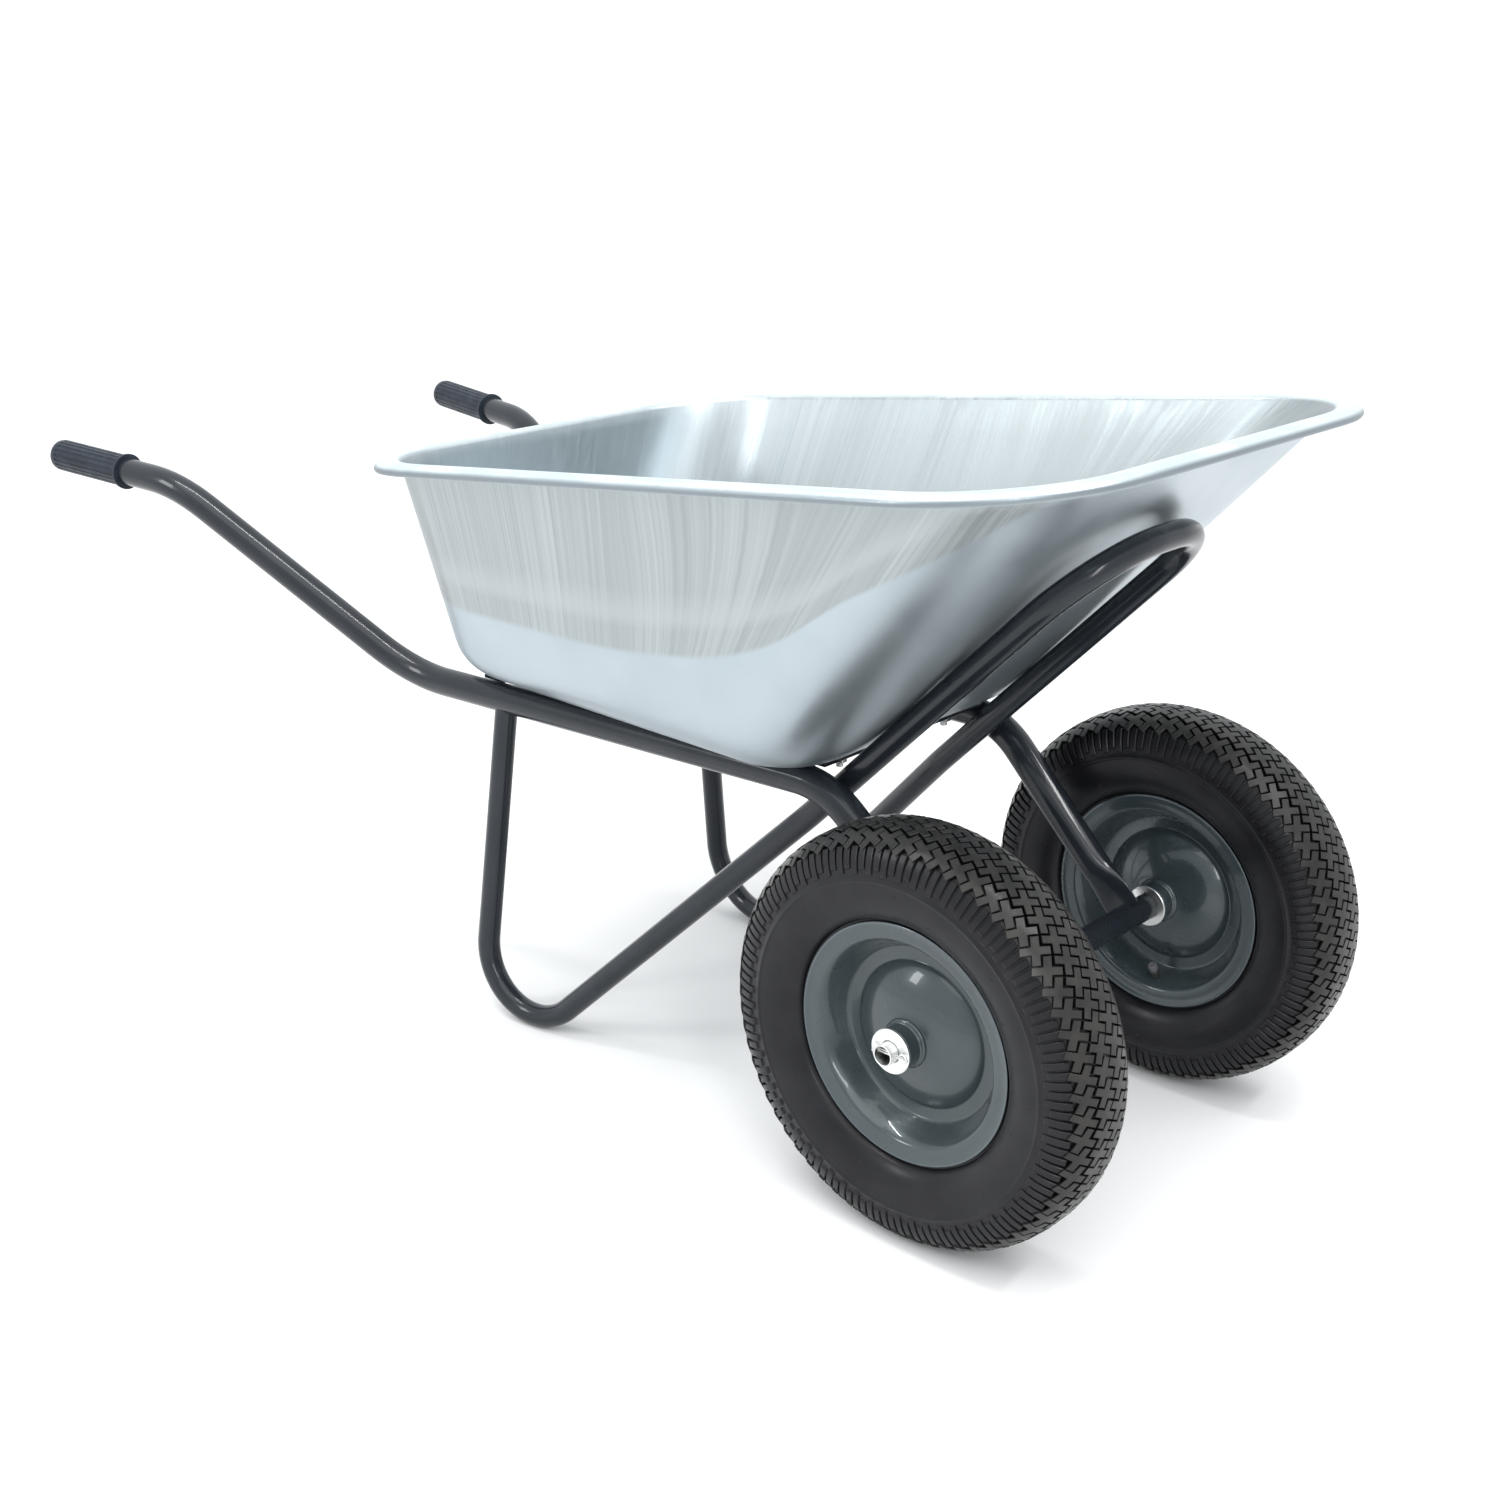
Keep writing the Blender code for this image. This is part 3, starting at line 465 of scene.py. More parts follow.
def tyre_rubber():
    """Black rubber: the tread's tops are worn grey-brown, the carcass between the blocks is painted
    near-black as shade, and the sides have a soft sheen. The attribute "worn" is 1 on what touches the
    road."""
    material, tree, shader = finish(
        "tyre_rubber", (0.014, 0.014, 0.015), 0.5, (18.0, 0.28, 0.42),
        grain=(900.0, 0.2, 0.0003), specular=0.2, coat=0.06, coat_roughness=0.18,
    )
    worn = add_node(tree, "ShaderNodeAttribute", attribute_name="worn").outputs["Fac"]
    radius = use_group(tree, FROM_AXLE)
    black, sheen = (0.0050, 0.0050, 0.0065), (0.0085, 0.0085, 0.0105)
    side = mix_colour(use_group(tree, MOTTLE, Scale=26.0), black, sheen)
    # Painted shade: the carcass out near the tread, between the blocks, is mixed toward near-black.
    groove_shade = ranged(radius, TYRE_RADIUS - 0.021, TYRE_RADIUS - 0.010)
    below = mix_colour(groove_shade, side, (0.004, 0.004, 0.004))
    scuffed, dusty = (0.0125, 0.0122, 0.012), (0.024, 0.0225, 0.021)
    dust = mix_colour(use_group(tree, MOTTLE, Scale=60.0), scuffed, dusty)
    tops = ranged(worn, 0.35, 0.95)
    tree.links.new(mix_colour(tops, below, dust), shader.inputs["Base Color"])
    return material


# how far up the walls the draw marks begin, from the tray's rear end to its front
MARKED_EDGE = (
    (0.0, 0.40), (0.3, 0.36), (0.62, 0.375), (0.78, 0.46), (0.88, 0.68), (0.95, 0.83), (1.0, 1.0),
)


def tray_zinc():
    """Zinc-coated drawn sheet. Four attributes say where a point is: "draw" holds how far along,
    across and up the tray, "draw_lines" follows the way the sheet was pulled, "rolled" grows from 0
    to 1 over the rim, and "inner" is 1 on the inside."""
    material, tree, shader = finish("tray_zinc_coat", (0.66, 0.70, 0.72), 0.35, metallic=0.9)
    draw = add_node(tree, "ShaderNodeAttribute", attribute_name="draw")
    split = tree.nodes.new("ShaderNodeSeparateXYZ")
    tree.links.new(draw.outputs["Vector"], split.inputs[0])
    along, _, height = split.outputs
    # The upper walls carry the draw marks; the lower walls and the front are smooth.
    edge_curve = tree.nodes.new("ShaderNodeFloatCurve")
    curve = edge_curve.mapping.curves[0]
    curve.points[0].location = MARKED_EDGE[0]
    curve.points[1].location = MARKED_EDGE[-1]
    for x, y in MARKED_EDGE[1:-1]:
        curve.points.new(x, y)
    edge_curve.mapping.update()
    tree.links.new(along, edge_curve.inputs["Value"])
    above = math_node("SUBTRACT", height, edge_curve.outputs[0])
    marked = ranged(above, -0.012, 0.022, kind="SMOOTHSTEP")
    # Fine and broad draw marks.
    line_place = add_node(tree, "ShaderNodeAttribute", attribute_name="draw_lines")
    streaks = []
    for scale, rise in ((430.0, 0.9), (140.0, 0.5), (24.0, 0.4)):
        stretch = tree.nodes.new("ShaderNodeMapping")
        stretch.inputs["Scale"].default_value = (scale, scale, rise)
        tree.links.new(line_place.outputs["Vector"], stretch.inputs["Vector"])
        noise = add_node(tree, "ShaderNodeTexNoise")
        noise.inputs["Scale"].default_value = 1.0
        noise.inputs["Detail"].default_value = 1.0
        tree.links.new(stretch.outputs[0], noise.inputs["Vector"])
        streaks.append(noise.outputs["Fac"])
    fine, middle, broad = streaks
    fine_share = math_node("MULTIPLY", fine, 0.55)
    lines = math_node("ADD", fine_share, math_node("MULTIPLY", middle, 0.45))
    lines = ranged(lines, 0.34, 0.66)
    mottle = use_group(tree, MOTTLE, Scale=7.0)
    smooth_colour = mix_colour(mottle, (0.44, 0.50, 0.54), (0.49, 0.55, 0.59))
    marked_colour = mix_colour(lines, (0.335, 0.368, 0.378), (0.475, 0.510, 0.520))
    dull = ranged(broad, 0.42, 0.62, 0.0, 0.6)
    marked_colour = mix_colour(dull, marked_colour, (0.37, 0.40, 0.41))
    # A faint paler band follows the edge of the marked zone, a little above it.
    fading = ranged(above, 0.17, 0.25, 0.35, 0.0)
    band = math_node("MULTIPLY", ranged(above, 0.10, 0.14), fading)
    marked_colour = mix_colour(band, marked_colour, (0.52, 0.56, 0.57))
    wall_colour = mix_colour(marked, smooth_colour, marked_colour)
    # The inside is painted a little darker than the outside as shade, and painted light makes it
    # brighter near its rear wall.
    inner = add_node(tree, "ShaderNodeAttribute", attribute_name="inner").outputs["Fac"]
    inside_shade = ranged(inner, 0.3, 0.7, 0.20, 0.25)
    wall_colour = mix_colour(inside_shade, wall_colour, (0.03, 0.05, 0.06))
    rear_inside_light = math_node("MULTIPLY", inner, ranged(along, 0.0, 0.3, 0.35, 0.0))
    wall_colour = mix_colour(rear_inside_light, wall_colour, (0.70, 0.76, 0.79))
    rolled = add_node(tree, "ShaderNodeAttribute", attribute_name="rolled").outputs["Fac"]
    cloud = ranged(broad, 0.35, 0.65)
    flange_colour = mix_colour(cloud, (0.54, 0.62, 0.64), (0.65, 0.73, 0.75))
    # Painted shade: a dark line under the flange's rolled lip.
    lip_shade = ranged(rolled, 0.90, 0.985)
    flange_with_lip_shade = mix_colour(lip_shade, flange_colour, (0.22, 0.25, 0.27))
    flange = ranged(rolled, 0.02, 0.12)
    tree.links.new(mix_colour(flange, wall_colour, flange_with_lip_shade), shader.inputs["Base Color"])
    marked_rough = ranged(lines, 0.0, 1.0, 0.34, 0.48)
    rough = add_node(tree, "ShaderNodeMix", data_type="FLOAT")
    tree.links.new(marked, rough.inputs[0])
    tree.links.new(use_group(tree, MOTTLE, Scale=12.0, Low=0.34, High=0.42), rough.inputs[2])
    tree.links.new(marked_rough, rough.inputs[3])
    tree.links.new(rough.outputs[0], shader.inputs["Roughness"])
    ridge = math_node("MULTIPLY", lines, marked)
    height_sum = math_node("ADD", ridge, use_group(tree, GRAIN, Scale=260.0, Height=0.3))
    add_bump(shader, height_sum, 0.06, 0.0006)
    return material


# gloss dark grey powder coat, with its slight orange peel
PAINT = finish(
    "frame_powder_coat", (0.022, 0.025, 0.030), 0.25, (22.0, 0.19, 0.26),
    (14.0, (0.011, 0.014, 0.018), (0.015, 0.018, 0.023)), (260.0, 0.05, 0.0004),
    specular=0.18, coat=0.28, coat_roughness=0.05,
)[0]
RIM_PAINT = rim_paint()
# bright zinc plate on bolts, washers and the axle
ZINC = finish(
    "bright_zinc_plate", (0.74, 0.75, 0.74), 0.3, (45.0, 0.26, 0.36),
    (30.0, (0.6068, 0.6150, 0.6068), (0.74, 0.75, 0.74)), metallic=1.0,
)[0]
RUBBER = tyre_rubber()
# blue-black moulded plastic with a fine skin
GRIP = finish(
    "grip_plastic", (0.016, 0.021, 0.030), 0.42, (90.0, 0.34, 0.5),
    (50.0, (0.008, 0.012, 0.019), (0.014, 0.020, 0.030)), (1500.0, 0.2, 0.0002), specular=0.26,
)[0]
TRIM = {"gloss": (150.0, 0.4, 0.6), "grain": (1500.0, 0.2, 0.0002)}
NYLON = finish("bush_nylon", (0.09, 0.09, 0.10), 0.5, **TRIM)[0]
TRIM_RUBBER = finish("valve_rubber", (0.02, 0.02, 0.02), 0.5, **TRIM)[0]
TRAY_ZINC = tray_zinc()


# ---------------------------------------------------------------- frame tubes
def rail_at(x):
    share = (x - REAR_BEND.x) / (FRONT_BEND.x - REAR_BEND.x)
    return REAR_BEND.lerp(FRONT_BEND, share)


def handle_tube(side_name, side):
    """A main tube: bent three times, with its front end pressed flat where it meets the axle."""
    toward = (LUG_POINT - FRONT_BEND).normalized()
    press_start = LUG_POINT - toward * PRESSED_LENGTH
    points = (GRIP_POINT, HANDLE_BEND, REAR_BEND, FRONT_BEND, press_start)
    corners = [shifted(point, side) for point in points]
    tube = bent_tube("handle_tube_" + side_name, corners, HANDLE_BENDS, MAIN_RADIUS)
    heading = Vector((toward.x, toward.y * side, toward.z))
    flat = heading.cross(Vector((0, 1, 0))).normalized()
    across = flat.cross(heading).normalized()
    axes = (tuple(across), tuple(flat), tuple(heading))
    here = corners[-1]
    thin = wide = 1.0
    for thickness, width in PRESSED_SHAPE:
        step = heading * PRESSED_STEP
        extrude(step)
        here = here + step
        bpy.ops.transform.resize(
            value=(thickness / thin, width / wide, 1), center_override=here,
            orient_type="GLOBAL", orient_matrix=axes, orient_matrix_type="GLOBAL",
        )
        thin, wide = thickness, width
    close_up(tube, 50)
    hand_over(tube, "frame", "frame_paint", PAINT, "main_tube_" + side_name)


def leg_and_nose_tube():
    """Legs, feet, stays and nose loop in one bent tube, standing on the ground."""
    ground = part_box("leg_loop_tube")[0].z
    foot = LOOP_FOOT.copy()
    # The foot's corner is lowered step by step until the bend in it stands on the ground.
    for _ in range(20):
        toward_top = (rail_at(LEG_X) - foot).normalized()
        toward_stay = (LOOP_CROSSING - foot).normalized()
        half = toward_top.angle(toward_stay) / 2
        centre = foot + (toward_top + toward_stay).normalized() * (FOOT_BEND / sin(half))
        plane = toward_top.cross(toward_stay).normalized()
        drop = sqrt(1 - plane.z**2)
        foot.z += ground + LOOP_RADIUS - (centre.z - FOOT_BEND * drop)
    left = [rail_at(LEG_X), foot, LOOP_CROSSING, LOOP_NOSE]
    corners = [shifted(point) for point in left] + [shifted(point, -1) for point in reversed(left)]
    bends = (FOOT_BEND, CROSSING_BEND, NOSE_BEND)
    tube = bent_tube("leg_and_nose_tube", corners, bends + bends[::-1], LOOP_RADIUS)
    bpy.ops.mesh.edge_face_add()
    close_up(tube, 50)
    hand_over(tube, "frame", "frame_paint", PAINT, "leg_loop_tube")


for side_name, side in SIDES:
    handle_tube(side_name, side)
leg_and_nose_tube()


# ---------------------------------------------------------------- grips
GRIP_TIP_RADIUS = 0.0130
GRIP_END = 0.0041  # how far it reaches past the tube
FLUTES = 20
FLUTE_START, FLUTE_END = 0.0100, 0.1170
# the grip's radius at each place along it
GRIP_RINGS = (
    (0.0162, 0.0012), (0.0179, 0.0034), (0.0186, 0.0068), (0.0186, 0.0110), (0.0186, 0.1150),
    (0.0186, 0.1190), (0.0186, 0.1230), (0.0209, 0.1232), (0.0210, 0.1262), (0.0170, 0.1266),
)


def grip(side_name, side):
    """A fluted sleeve with a rounded closed end and a flange at its mouth."""
    start, toward = shifted(GRIP_POINT, side), shifted(HANDLE_BEND, side)
    heading = (toward - start).normalized()
    piece = circle("grip_" + side_name + "_sleeve", FLUTES * 4, GRIP_TIP_RADIUS)
    ring_stack(GRIP_RINGS, GRIP_TIP_RADIUS)

    def in_flute(face):
        if not FLUTE_START < face.center.z < FLUTE_END or abs(face.normal.z) > 0.5:
            return False
        turn = atan2(face.center.y, face.center.x) / (2 * pi) * FLUTES
        return (turn % 1.0) < 0.5

    edit(piece)
    select_faces(piece, in_flute)
    bpy.ops.mesh.inset(thickness=0.0004, depth=-0.0008)
    close_up(piece, 30)
    back = start - heading * GRIP_END
    turn = heading.to_track_quat("Z", "Y").to_matrix().to_4x4()
    place(piece, Matrix.Translation(back) @ turn)
    hand_over(piece, "frame", "grip_plastic", GRIP, "grip_" + side_name)


for side_name, side in SIDES:
    grip(side_name, side)


# ---------------------------------------------------------------- tray
# x, half width and corner radius of the rim and of the floor, at the rear and the front
RIM_REAR = (-0.7156, 0.2601, 0.1129)
RIM_FRONT = (0.1385, 0.2887, 0.1194)
FLOOR_REAR = (-0.7458, 0.1727, 0.1378)
FLOOR_FRONT = (-0.1748, 0.2098, 0.0850)
RIM_REAR_HEIGHT, RIM_FRONT_HEIGHT = 0.6282, 0.7199
FLOOR_FILLET = 0.0534
FLOOR_FRONT_FILLET = 0.0220
SHEET = 0.0015
TRAY_GAP = 0.0003
RIM_OVERHANG = 0.0240
RIM_DEPTH = 0.0080
# the rolled rim's section: shares of the overhang and of the depth
RIM_ROLL = (
    (0.0, 0.50), (0.03, 0.25), (0.10, 0.09), (0.25, 0.02), (0.42, 0.0), (0.62, 0.04),
    (0.78, 0.12), (0.91, 0.28), (0.98, 0.55), (1.0, 0.80), (0.96, 1.0),
)
FILLET_STEPS = 10
WALL_STEPS = 12
TRAY_RUN = 0.85  # the length that the draw marks are counted over
ACROSS_SHARE = 0.35  # the tray's half width, as a share of that length
SHORTEST_RUN = 0.05  # an outline's straight runs are longer than this, and its corners' edges shorter


def floor_height(x):
    return rail_at(x).z + (MAIN_RADIUS + TRAY_GAP) / cos(RAIL_SLOPE)


def rim_height(x):
    return blend(RIM_REAR_HEIGHT, RIM_FRONT_HEIGHT, (x - RIM_REAR[0]) / (RIM_FRONT[0] - RIM_REAR[0]))


def blend(low, high, share):
    return low + (high - low) * share


def tray_level(share):
    """x, half width and corner radius at the tray's rear and its front, a share of the way up."""
    ends = ((FLOOR_REAR, RIM_REAR), (FLOOR_FRONT, RIM_FRONT))
    return [[blend(low, high, share) for low, high in zip(floor, rim)] for floor, rim in ends]


def tray_outline(number, share, inset, outward, drop):
    """One rounded outline of the tray: a plane set to four corners, with its corners rounded."""
    shift = outward - inset * FLOOR_FILLET
    front_shift = outward - inset * FLOOR_FRONT_FILLET
    (rear_x, *rear), (front_x, *front) = tray_level(share)
    rear_x, front_x = rear_x - shift, front_x + front_shift
    rear_half, rear_corner = (length + shift for length in rear)
    front_half, front_corner = (length + shift for length in front)
    deselect()
    bpy.ops.mesh.primitive_plane_add(size=1)
    outline = new_object(f"tray_outline_{number}")
    edit(outline)
    for end, x, half in ((-1, rear_x, rear_half), (1, front_x, front_half)):
        for lateral in (-1, 1):
            low = floor_height(x)
            z = low + (rim_height(x) - low) * share - drop
            corner = (end * 0.5, lateral * 0.5, 0)
            select_verts(outline, lambda co: tuple(co) == corner)
            move((x - end * 0.5, lateral * (half - 0.5), z))
    lean = atan2(front_half - rear_half, front_x - rear_x)
    middle = (rear_x + front_x) / 2
    for end, radius, turn in ((-1, rear_corner, pi / 2 + lean), (1, front_corner, pi / 2 - lean)):
        select_verts(outline, lambda co: (co.x - middle) * end > 0)
        bpy.ops.mesh.bevel(
            offset=radius * tan((pi - turn) / 2), offset_type="OFFSET", segments=16,
            profile=0.5, affect="VERTICES", clamp_overlap=False,
        )
    select_all("DESELECT")
    bpy.ops.mesh.select_mode(type="EDGE")
    done_editing()
    corners = outline.data.vertices
    for edge in outline.data.edges:
        first, second = (corners[i].co for i in edge.vertices)
        edge.select = (first - second).length > SHORTEST_RUN
    bpy.ops.object.mode_set(mode="EDIT")
    bpy.ops.mesh.subdivide(number_cuts=15)
    done_editing()
    mark_points(outline, "rolled", lambda _: outward / RIM_OVERHANG)
    ring = outline.vertex_groups.new(name=f"ring_{number}")
    ring.add(range(len(outline.data.vertices)), 1.0, "REPLACE")
    return outline


def bridge_rings(piece, count):
    """Joins each outline of the tray to the next one with a band of faces."""
    edit(piece)
    for number in range(count - 1):
        bpy.ops.mesh.select_mode(type="VERT")
        select_all("DESELECT")
        for ring in (number, number + 1):
            piece.vertex_groups.active_index = piece.vertex_groups[f"ring_{ring}"].index
            bpy.ops.object.vertex_group_select()
        bpy.ops.mesh.select_mode(type="EDGE")
        bpy.ops.mesh.bridge_edge_loops()
    done_editing()


def tray():
    """The drawn tray: a flat floor, sloping walls and a rolled rim, then given its thickness."""
    wall = (RIM_REAR_HEIGHT + RIM_FRONT_HEIGHT) / 2 - floor_height((FLOOR_REAR[0] + FLOOR_FRONT[0]) / 2)
    fillet_share = FLOOR_FILLET / wall
    specs = []
    for step in range(FILLET_STEPS):
        along = 1 - step / FILLET_STEPS
        specs.append((fillet_share * (1 - along) ** 2, along * along, 0, 0))
    for step in range(WALL_STEPS):
        specs.append((fillet_share + (1 - fillet_share) * step / WALL_STEPS, 0, 0, 0))
    for outward, drop in RIM_ROLL:
        specs.append((1.0, 0, outward * RIM_OVERHANG, drop * RIM_DEPTH))
    outlines = [tray_outline(number, *spec) for number, spec in enumerate(specs)]
    for outline in outlines[1:]:
        edit(outline)
        bpy.ops.mesh.delete(type="ONLY_FACE")
        done_editing()
    shell = join(outlines, "tray_sheet")
    bridge_rings(shell, len(specs))
    edit(shell)
    bpy.ops.mesh.normals_make_consistent(inside=False)
    done_editing()
    lowest = min(shell.data.polygons, key=lambda face: face.center.z)
    if lowest.normal.z > 0:
        edit(shell)
        bpy.ops.mesh.flip_normals()
        done_editing()
    shell.vertex_groups.clear()
    outer_count = len(shell.data.vertices)
    apply_modifier(shell, "SOLIDIFY", thickness=SHEET, offset=-1.0, use_even_offset=True)
    place(shell, Matrix.Translation((AXLE.x, 0, 0)))
    mark_points(shell, "inner", lambda vertex: float(vertex.index >= outer_count))
    attributes = shell.data.attributes
    attributes.new("draw", "FLOAT_VECTOR", "POINT")
    attributes.new("draw_lines", "FLOAT_VECTOR", "POINT")
    marks = zip(shell.data.vertices, attributes["draw"].data, attributes["draw_lines"].data)
    rear_lean, front_lean = RIM_REAR[0] - FLOOR_REAR[0], RIM_FRONT[0] - FLOOR_FRONT[0]
    for vertex, mark, line in marks:
        x = vertex.co.x - AXLE.x
        low = floor_height(x)
        share = (vertex.co.z - low) / (rim_height(x) - low)
        (rear, rear_half, _), (front, front_half, _) = tray_level(share)
        along = (x - rear) / (front - rear)
        across = vertex.co.y / blend(rear_half, front_half, along) * ACROSS_SHARE
        mark.vector = (along, across, share)
        # The draw marks fan out toward the front: half as much as the wall, and then with it.
        follow = 0.5 + 0.5 * min(1.0, max(0.0, (along - 0.5) / 0.3))
        lean = blend(rear_lean, front_lean, along) * share * follow
        line.vector = ((x - lean) / TRAY_RUN, across, share)
    smooth(shell, 50)
    hand_over(shell, "frame", "tray_sheet", TRAY_ZINC, "tray")


tray()


# ---------------------------------------------------------------- cross bars and bolts
BAR_WIDTH = 0.034
BAR_THICKNESS = 0.004
SHANK_TIP_RADIUS = 0.0032
THREAD_CREST, THREAD_ROOT = 0.0039, 0.0035
THREAD_START, THREAD_PITCH = 0.0008, 0.0010
HEAD_HEIGHT = 0.0045
# the domed head's radius at each place below its top
BOLT_HEAD = (
    (0.0040, 0.0046), (0.0091, 0.0045), (0.0092, 0.0036), (0.0086, 0.0022), (0.0072, 0.0011),
    (0.0050, 0.0003), (0.0020, 0.0),
)
WASHER_RADIUS, WASHER_HEIGHT, WASHER_RING = 0.0086, 0.0016, 0.0043
NUT_HALF_FLATS, NUT_HEIGHT, NUT_RING = 0.0065, 0.0065, 0.0022


def cross_bar(name):
    """A flat bar between the rails with softened edges."""
    deselect()
    low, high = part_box(name)
    bpy.ops.mesh.primitive_cube_add(size=1)
    bar = new_object(name + "_flat")
    size = Matrix.Diagonal((BAR_WIDTH, high.y - low.y, BAR_THICKNESS, 1))
    place(bar, Matrix.Translation((low + high) / 2) @ ON_RAILS @ size)
    apply_modifier(bar, "BEVEL", width=0.0008, segments=3, limit_method="ANGLE")
    smooth(bar, 30)
    hand_over(bar, "frame", "frame_paint", PAINT, name)


def bolt_body(node):
    """The bolt: a domed head and a threaded shank, standing on its middle."""
    low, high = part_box(node)
    tall = high.z - low.z
    half = tall / 2
    bolt = circle(node + "_zinc", 32, SHANK_TIP_RADIUS, (0, 0, -half))
    steps = [(THREAD_CREST, THREAD_START)]
    thread = THREAD_START
    while thread < tall - HEAD_HEIGHT - 0.0005:
        steps += [
            (THREAD_CREST, thread + 0.3 * THREAD_PITCH), (THREAD_ROOT, thread + 0.6 * THREAD_PITCH),
        ]
        thread += THREAD_PITCH
    steps += [(wide, tall - below) for wide, below in BOLT_HEAD]
    ring_stack([(wide, up - half) for wide, up in steps], SHANK_TIP_RADIUS, -half)
    close_up(bolt, 40)
    return bolt


def pierced(piece, ring, soft, segments):
    """Makes a ring of a plain round or hexagon: a hole right through it, and softened edges."""
    edit(piece)
    select_faces(piece, lambda face: abs(face.normal.z) > 0.9)
    bpy.ops.mesh.inset(thickness=ring)
    bpy.ops.mesh.bridge_edge_loops()
    done_editing()
    angle = radians(40)
    apply_modifier(
        piece, "BEVEL", width=soft, segments=segments, limit_method="ANGLE", angle_limit=angle
    )
    close_up(piece, 40)
    return piece


def washer_ring(node):
    """A flat washer with softened edges."""
    deselect()
    bpy.ops.mesh.primitive_cylinder_add(
        vertices=48, radius=WASHER_RADIUS, depth=WASHER_HEIGHT, end_fill_type="NGON"
    )
    return pierced(new_object(node + "_zinc"), WASHER_RING, 0.0003, 2)


def hex_nut(node):
    """A hexagon nut with its corners turned off."""
    deselect()
    bpy.ops.mesh.primitive_cylinder_add(
        vertices=6, radius=NUT_HALF_FLATS / cos(pi / 6), depth=NUT_HEIGHT, end_fill_type="NGON"
    )
    return pierced(new_object(node + "_zinc"), NUT_RING, 0.0005, 3)


def floor_bolt(stem):
    """A round-headed bolt through the tray floor, with its washer and nut."""
    for kind, build in (("tray_bolt", bolt_body), ("bolt_washer", washer_ring), ("bolt_nut", hex_nut)):
        node = f"{stem}_{kind}"
        low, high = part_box(node)
        piece = place(build(node), Matrix.Translation((low + high) / 2) @ ON_RAILS)
        hand_over(piece, "frame", "zinc_plate", ZINC, node)


for bar_name in ("front_cross_bar", "rear_cross_bar"):
    cross_bar(bar_name)
for end_name in ("front", "rear"):
    for side_name, _ in SIDES:
        floor_bolt(f"{end_name}_{side_name}")


# ---------------------------------------------------------------- axle, washers and pins
AXLE_RADIUS, AXLE_INSIDE = 0.0100, 0.0087
AXLE_BORE = 0.0103
CARRIER_RADIUS = 0.0133
AXLE_WASHER_RADIUS = 0.0213


def box_profile(outer, inner, start, end, soft=0.0006):
    """The section of a plain ring with its four edges softened."""
    return [
        (outer - soft, start), (outer, start + soft), (outer, end - soft), (outer - soft, end),
        (inner + soft, end), (inner, end - soft), (inner, start + soft), (inner + soft, start),
    ]


PIN_WIRE, PIN_HALF_GAP = 0.0009, 0.0011
PIN_FRONT, PIN_SPREAD_START, PIN_TIP = 0.0125, -0.0120, -0.0180
PIN_EYE = 0.0040
PIN_SPREAD = 3.2 * PIN_HALF_GAP


def split_pin(side_name):
    """A split pin: an eye, two legs through the axle and two spread tips."""
    low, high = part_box("split_pin_" + side_name)
    y = (low.y + high.y) / 2
    path = [(PIN_TIP, PIN_SPREAD), (PIN_SPREAD_START, PIN_HALF_GAP), (PIN_FRONT, PIN_HALF_GAP)]
    for step in range(1, 12):
        angle = 2 * pi * step / 12
        path.append((PIN_FRONT + PIN_EYE - PIN_EYE * cos(angle), PIN_EYE * sin(angle)))
    path += [(PIN_FRONT, -PIN_HALF_GAP), (PIN_SPREAD_START, -PIN_HALF_GAP), (PIN_TIP, -PIN_SPREAD)]
    points = [Vector((AXLE.x + x, y, AXLE.z + z)) for x, z in path]
    heading = (points[1] - points[0]).normalized()
    turn = heading.to_track_quat("Z", "X").to_euler()
    pin = circle("split_pin_wire_" + side_name, 10, PIN_WIRE, points[0], turn)
    for i in range(1, len(points)):
        extrude(points[i] - points[i - 1])
        if i < len(points) - 1:
            after = (points[i + 1] - points[i]).normalized()
            turn = heading.cross(after).y
            angle = heading.angle(after)
            bpy.ops.transform.rotate(
                value=-angle if turn > 0 else angle, orient_axis="Y", center_override=points[i],
            )
            heading = after
    close_up(pin, 60)
    hand_over(pin, "frame", "zinc_plate", ZINC, "split_pin_" + side_name)


def axle_parts():
    """The carrier tube between the wheels, the axle through it, and the washers."""
    low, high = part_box("axle_tube")
    profile = box_profile(CARRIER_RADIUS, AXLE_BORE, low.y, high.y)
    carrier = turned("axle_carrier", profile, AXLE, segments=48)
    hand_over(carrier, "frame", "frame_paint", PAINT, "axle_tube")
    low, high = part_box("axle")
    profile = box_profile(AXLE_RADIUS, AXLE_INSIDE, low.y, high.y, 0.0004)
    shaft = turned("axle_shaft", profile, AXLE, segments=48)
    hand_over(shaft, "frame", "zinc_plate", ZINC, "axle")
    for side_name, _ in SIDES:
        for where in ("inner", "outer"):
            node = f"{where}_axle_washer_{side_name}"
            low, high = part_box(node)
            profile = box_profile(AXLE_WASHER_RADIUS, AXLE_BORE, low.y, high.y, 0.0005)
            washer = turned(node + "_ring", profile, AXLE, segments=64)
            hand_over(washer, "frame", "zinc_plate", ZINC, node)
        split_pin(side_name)


axle_parts()


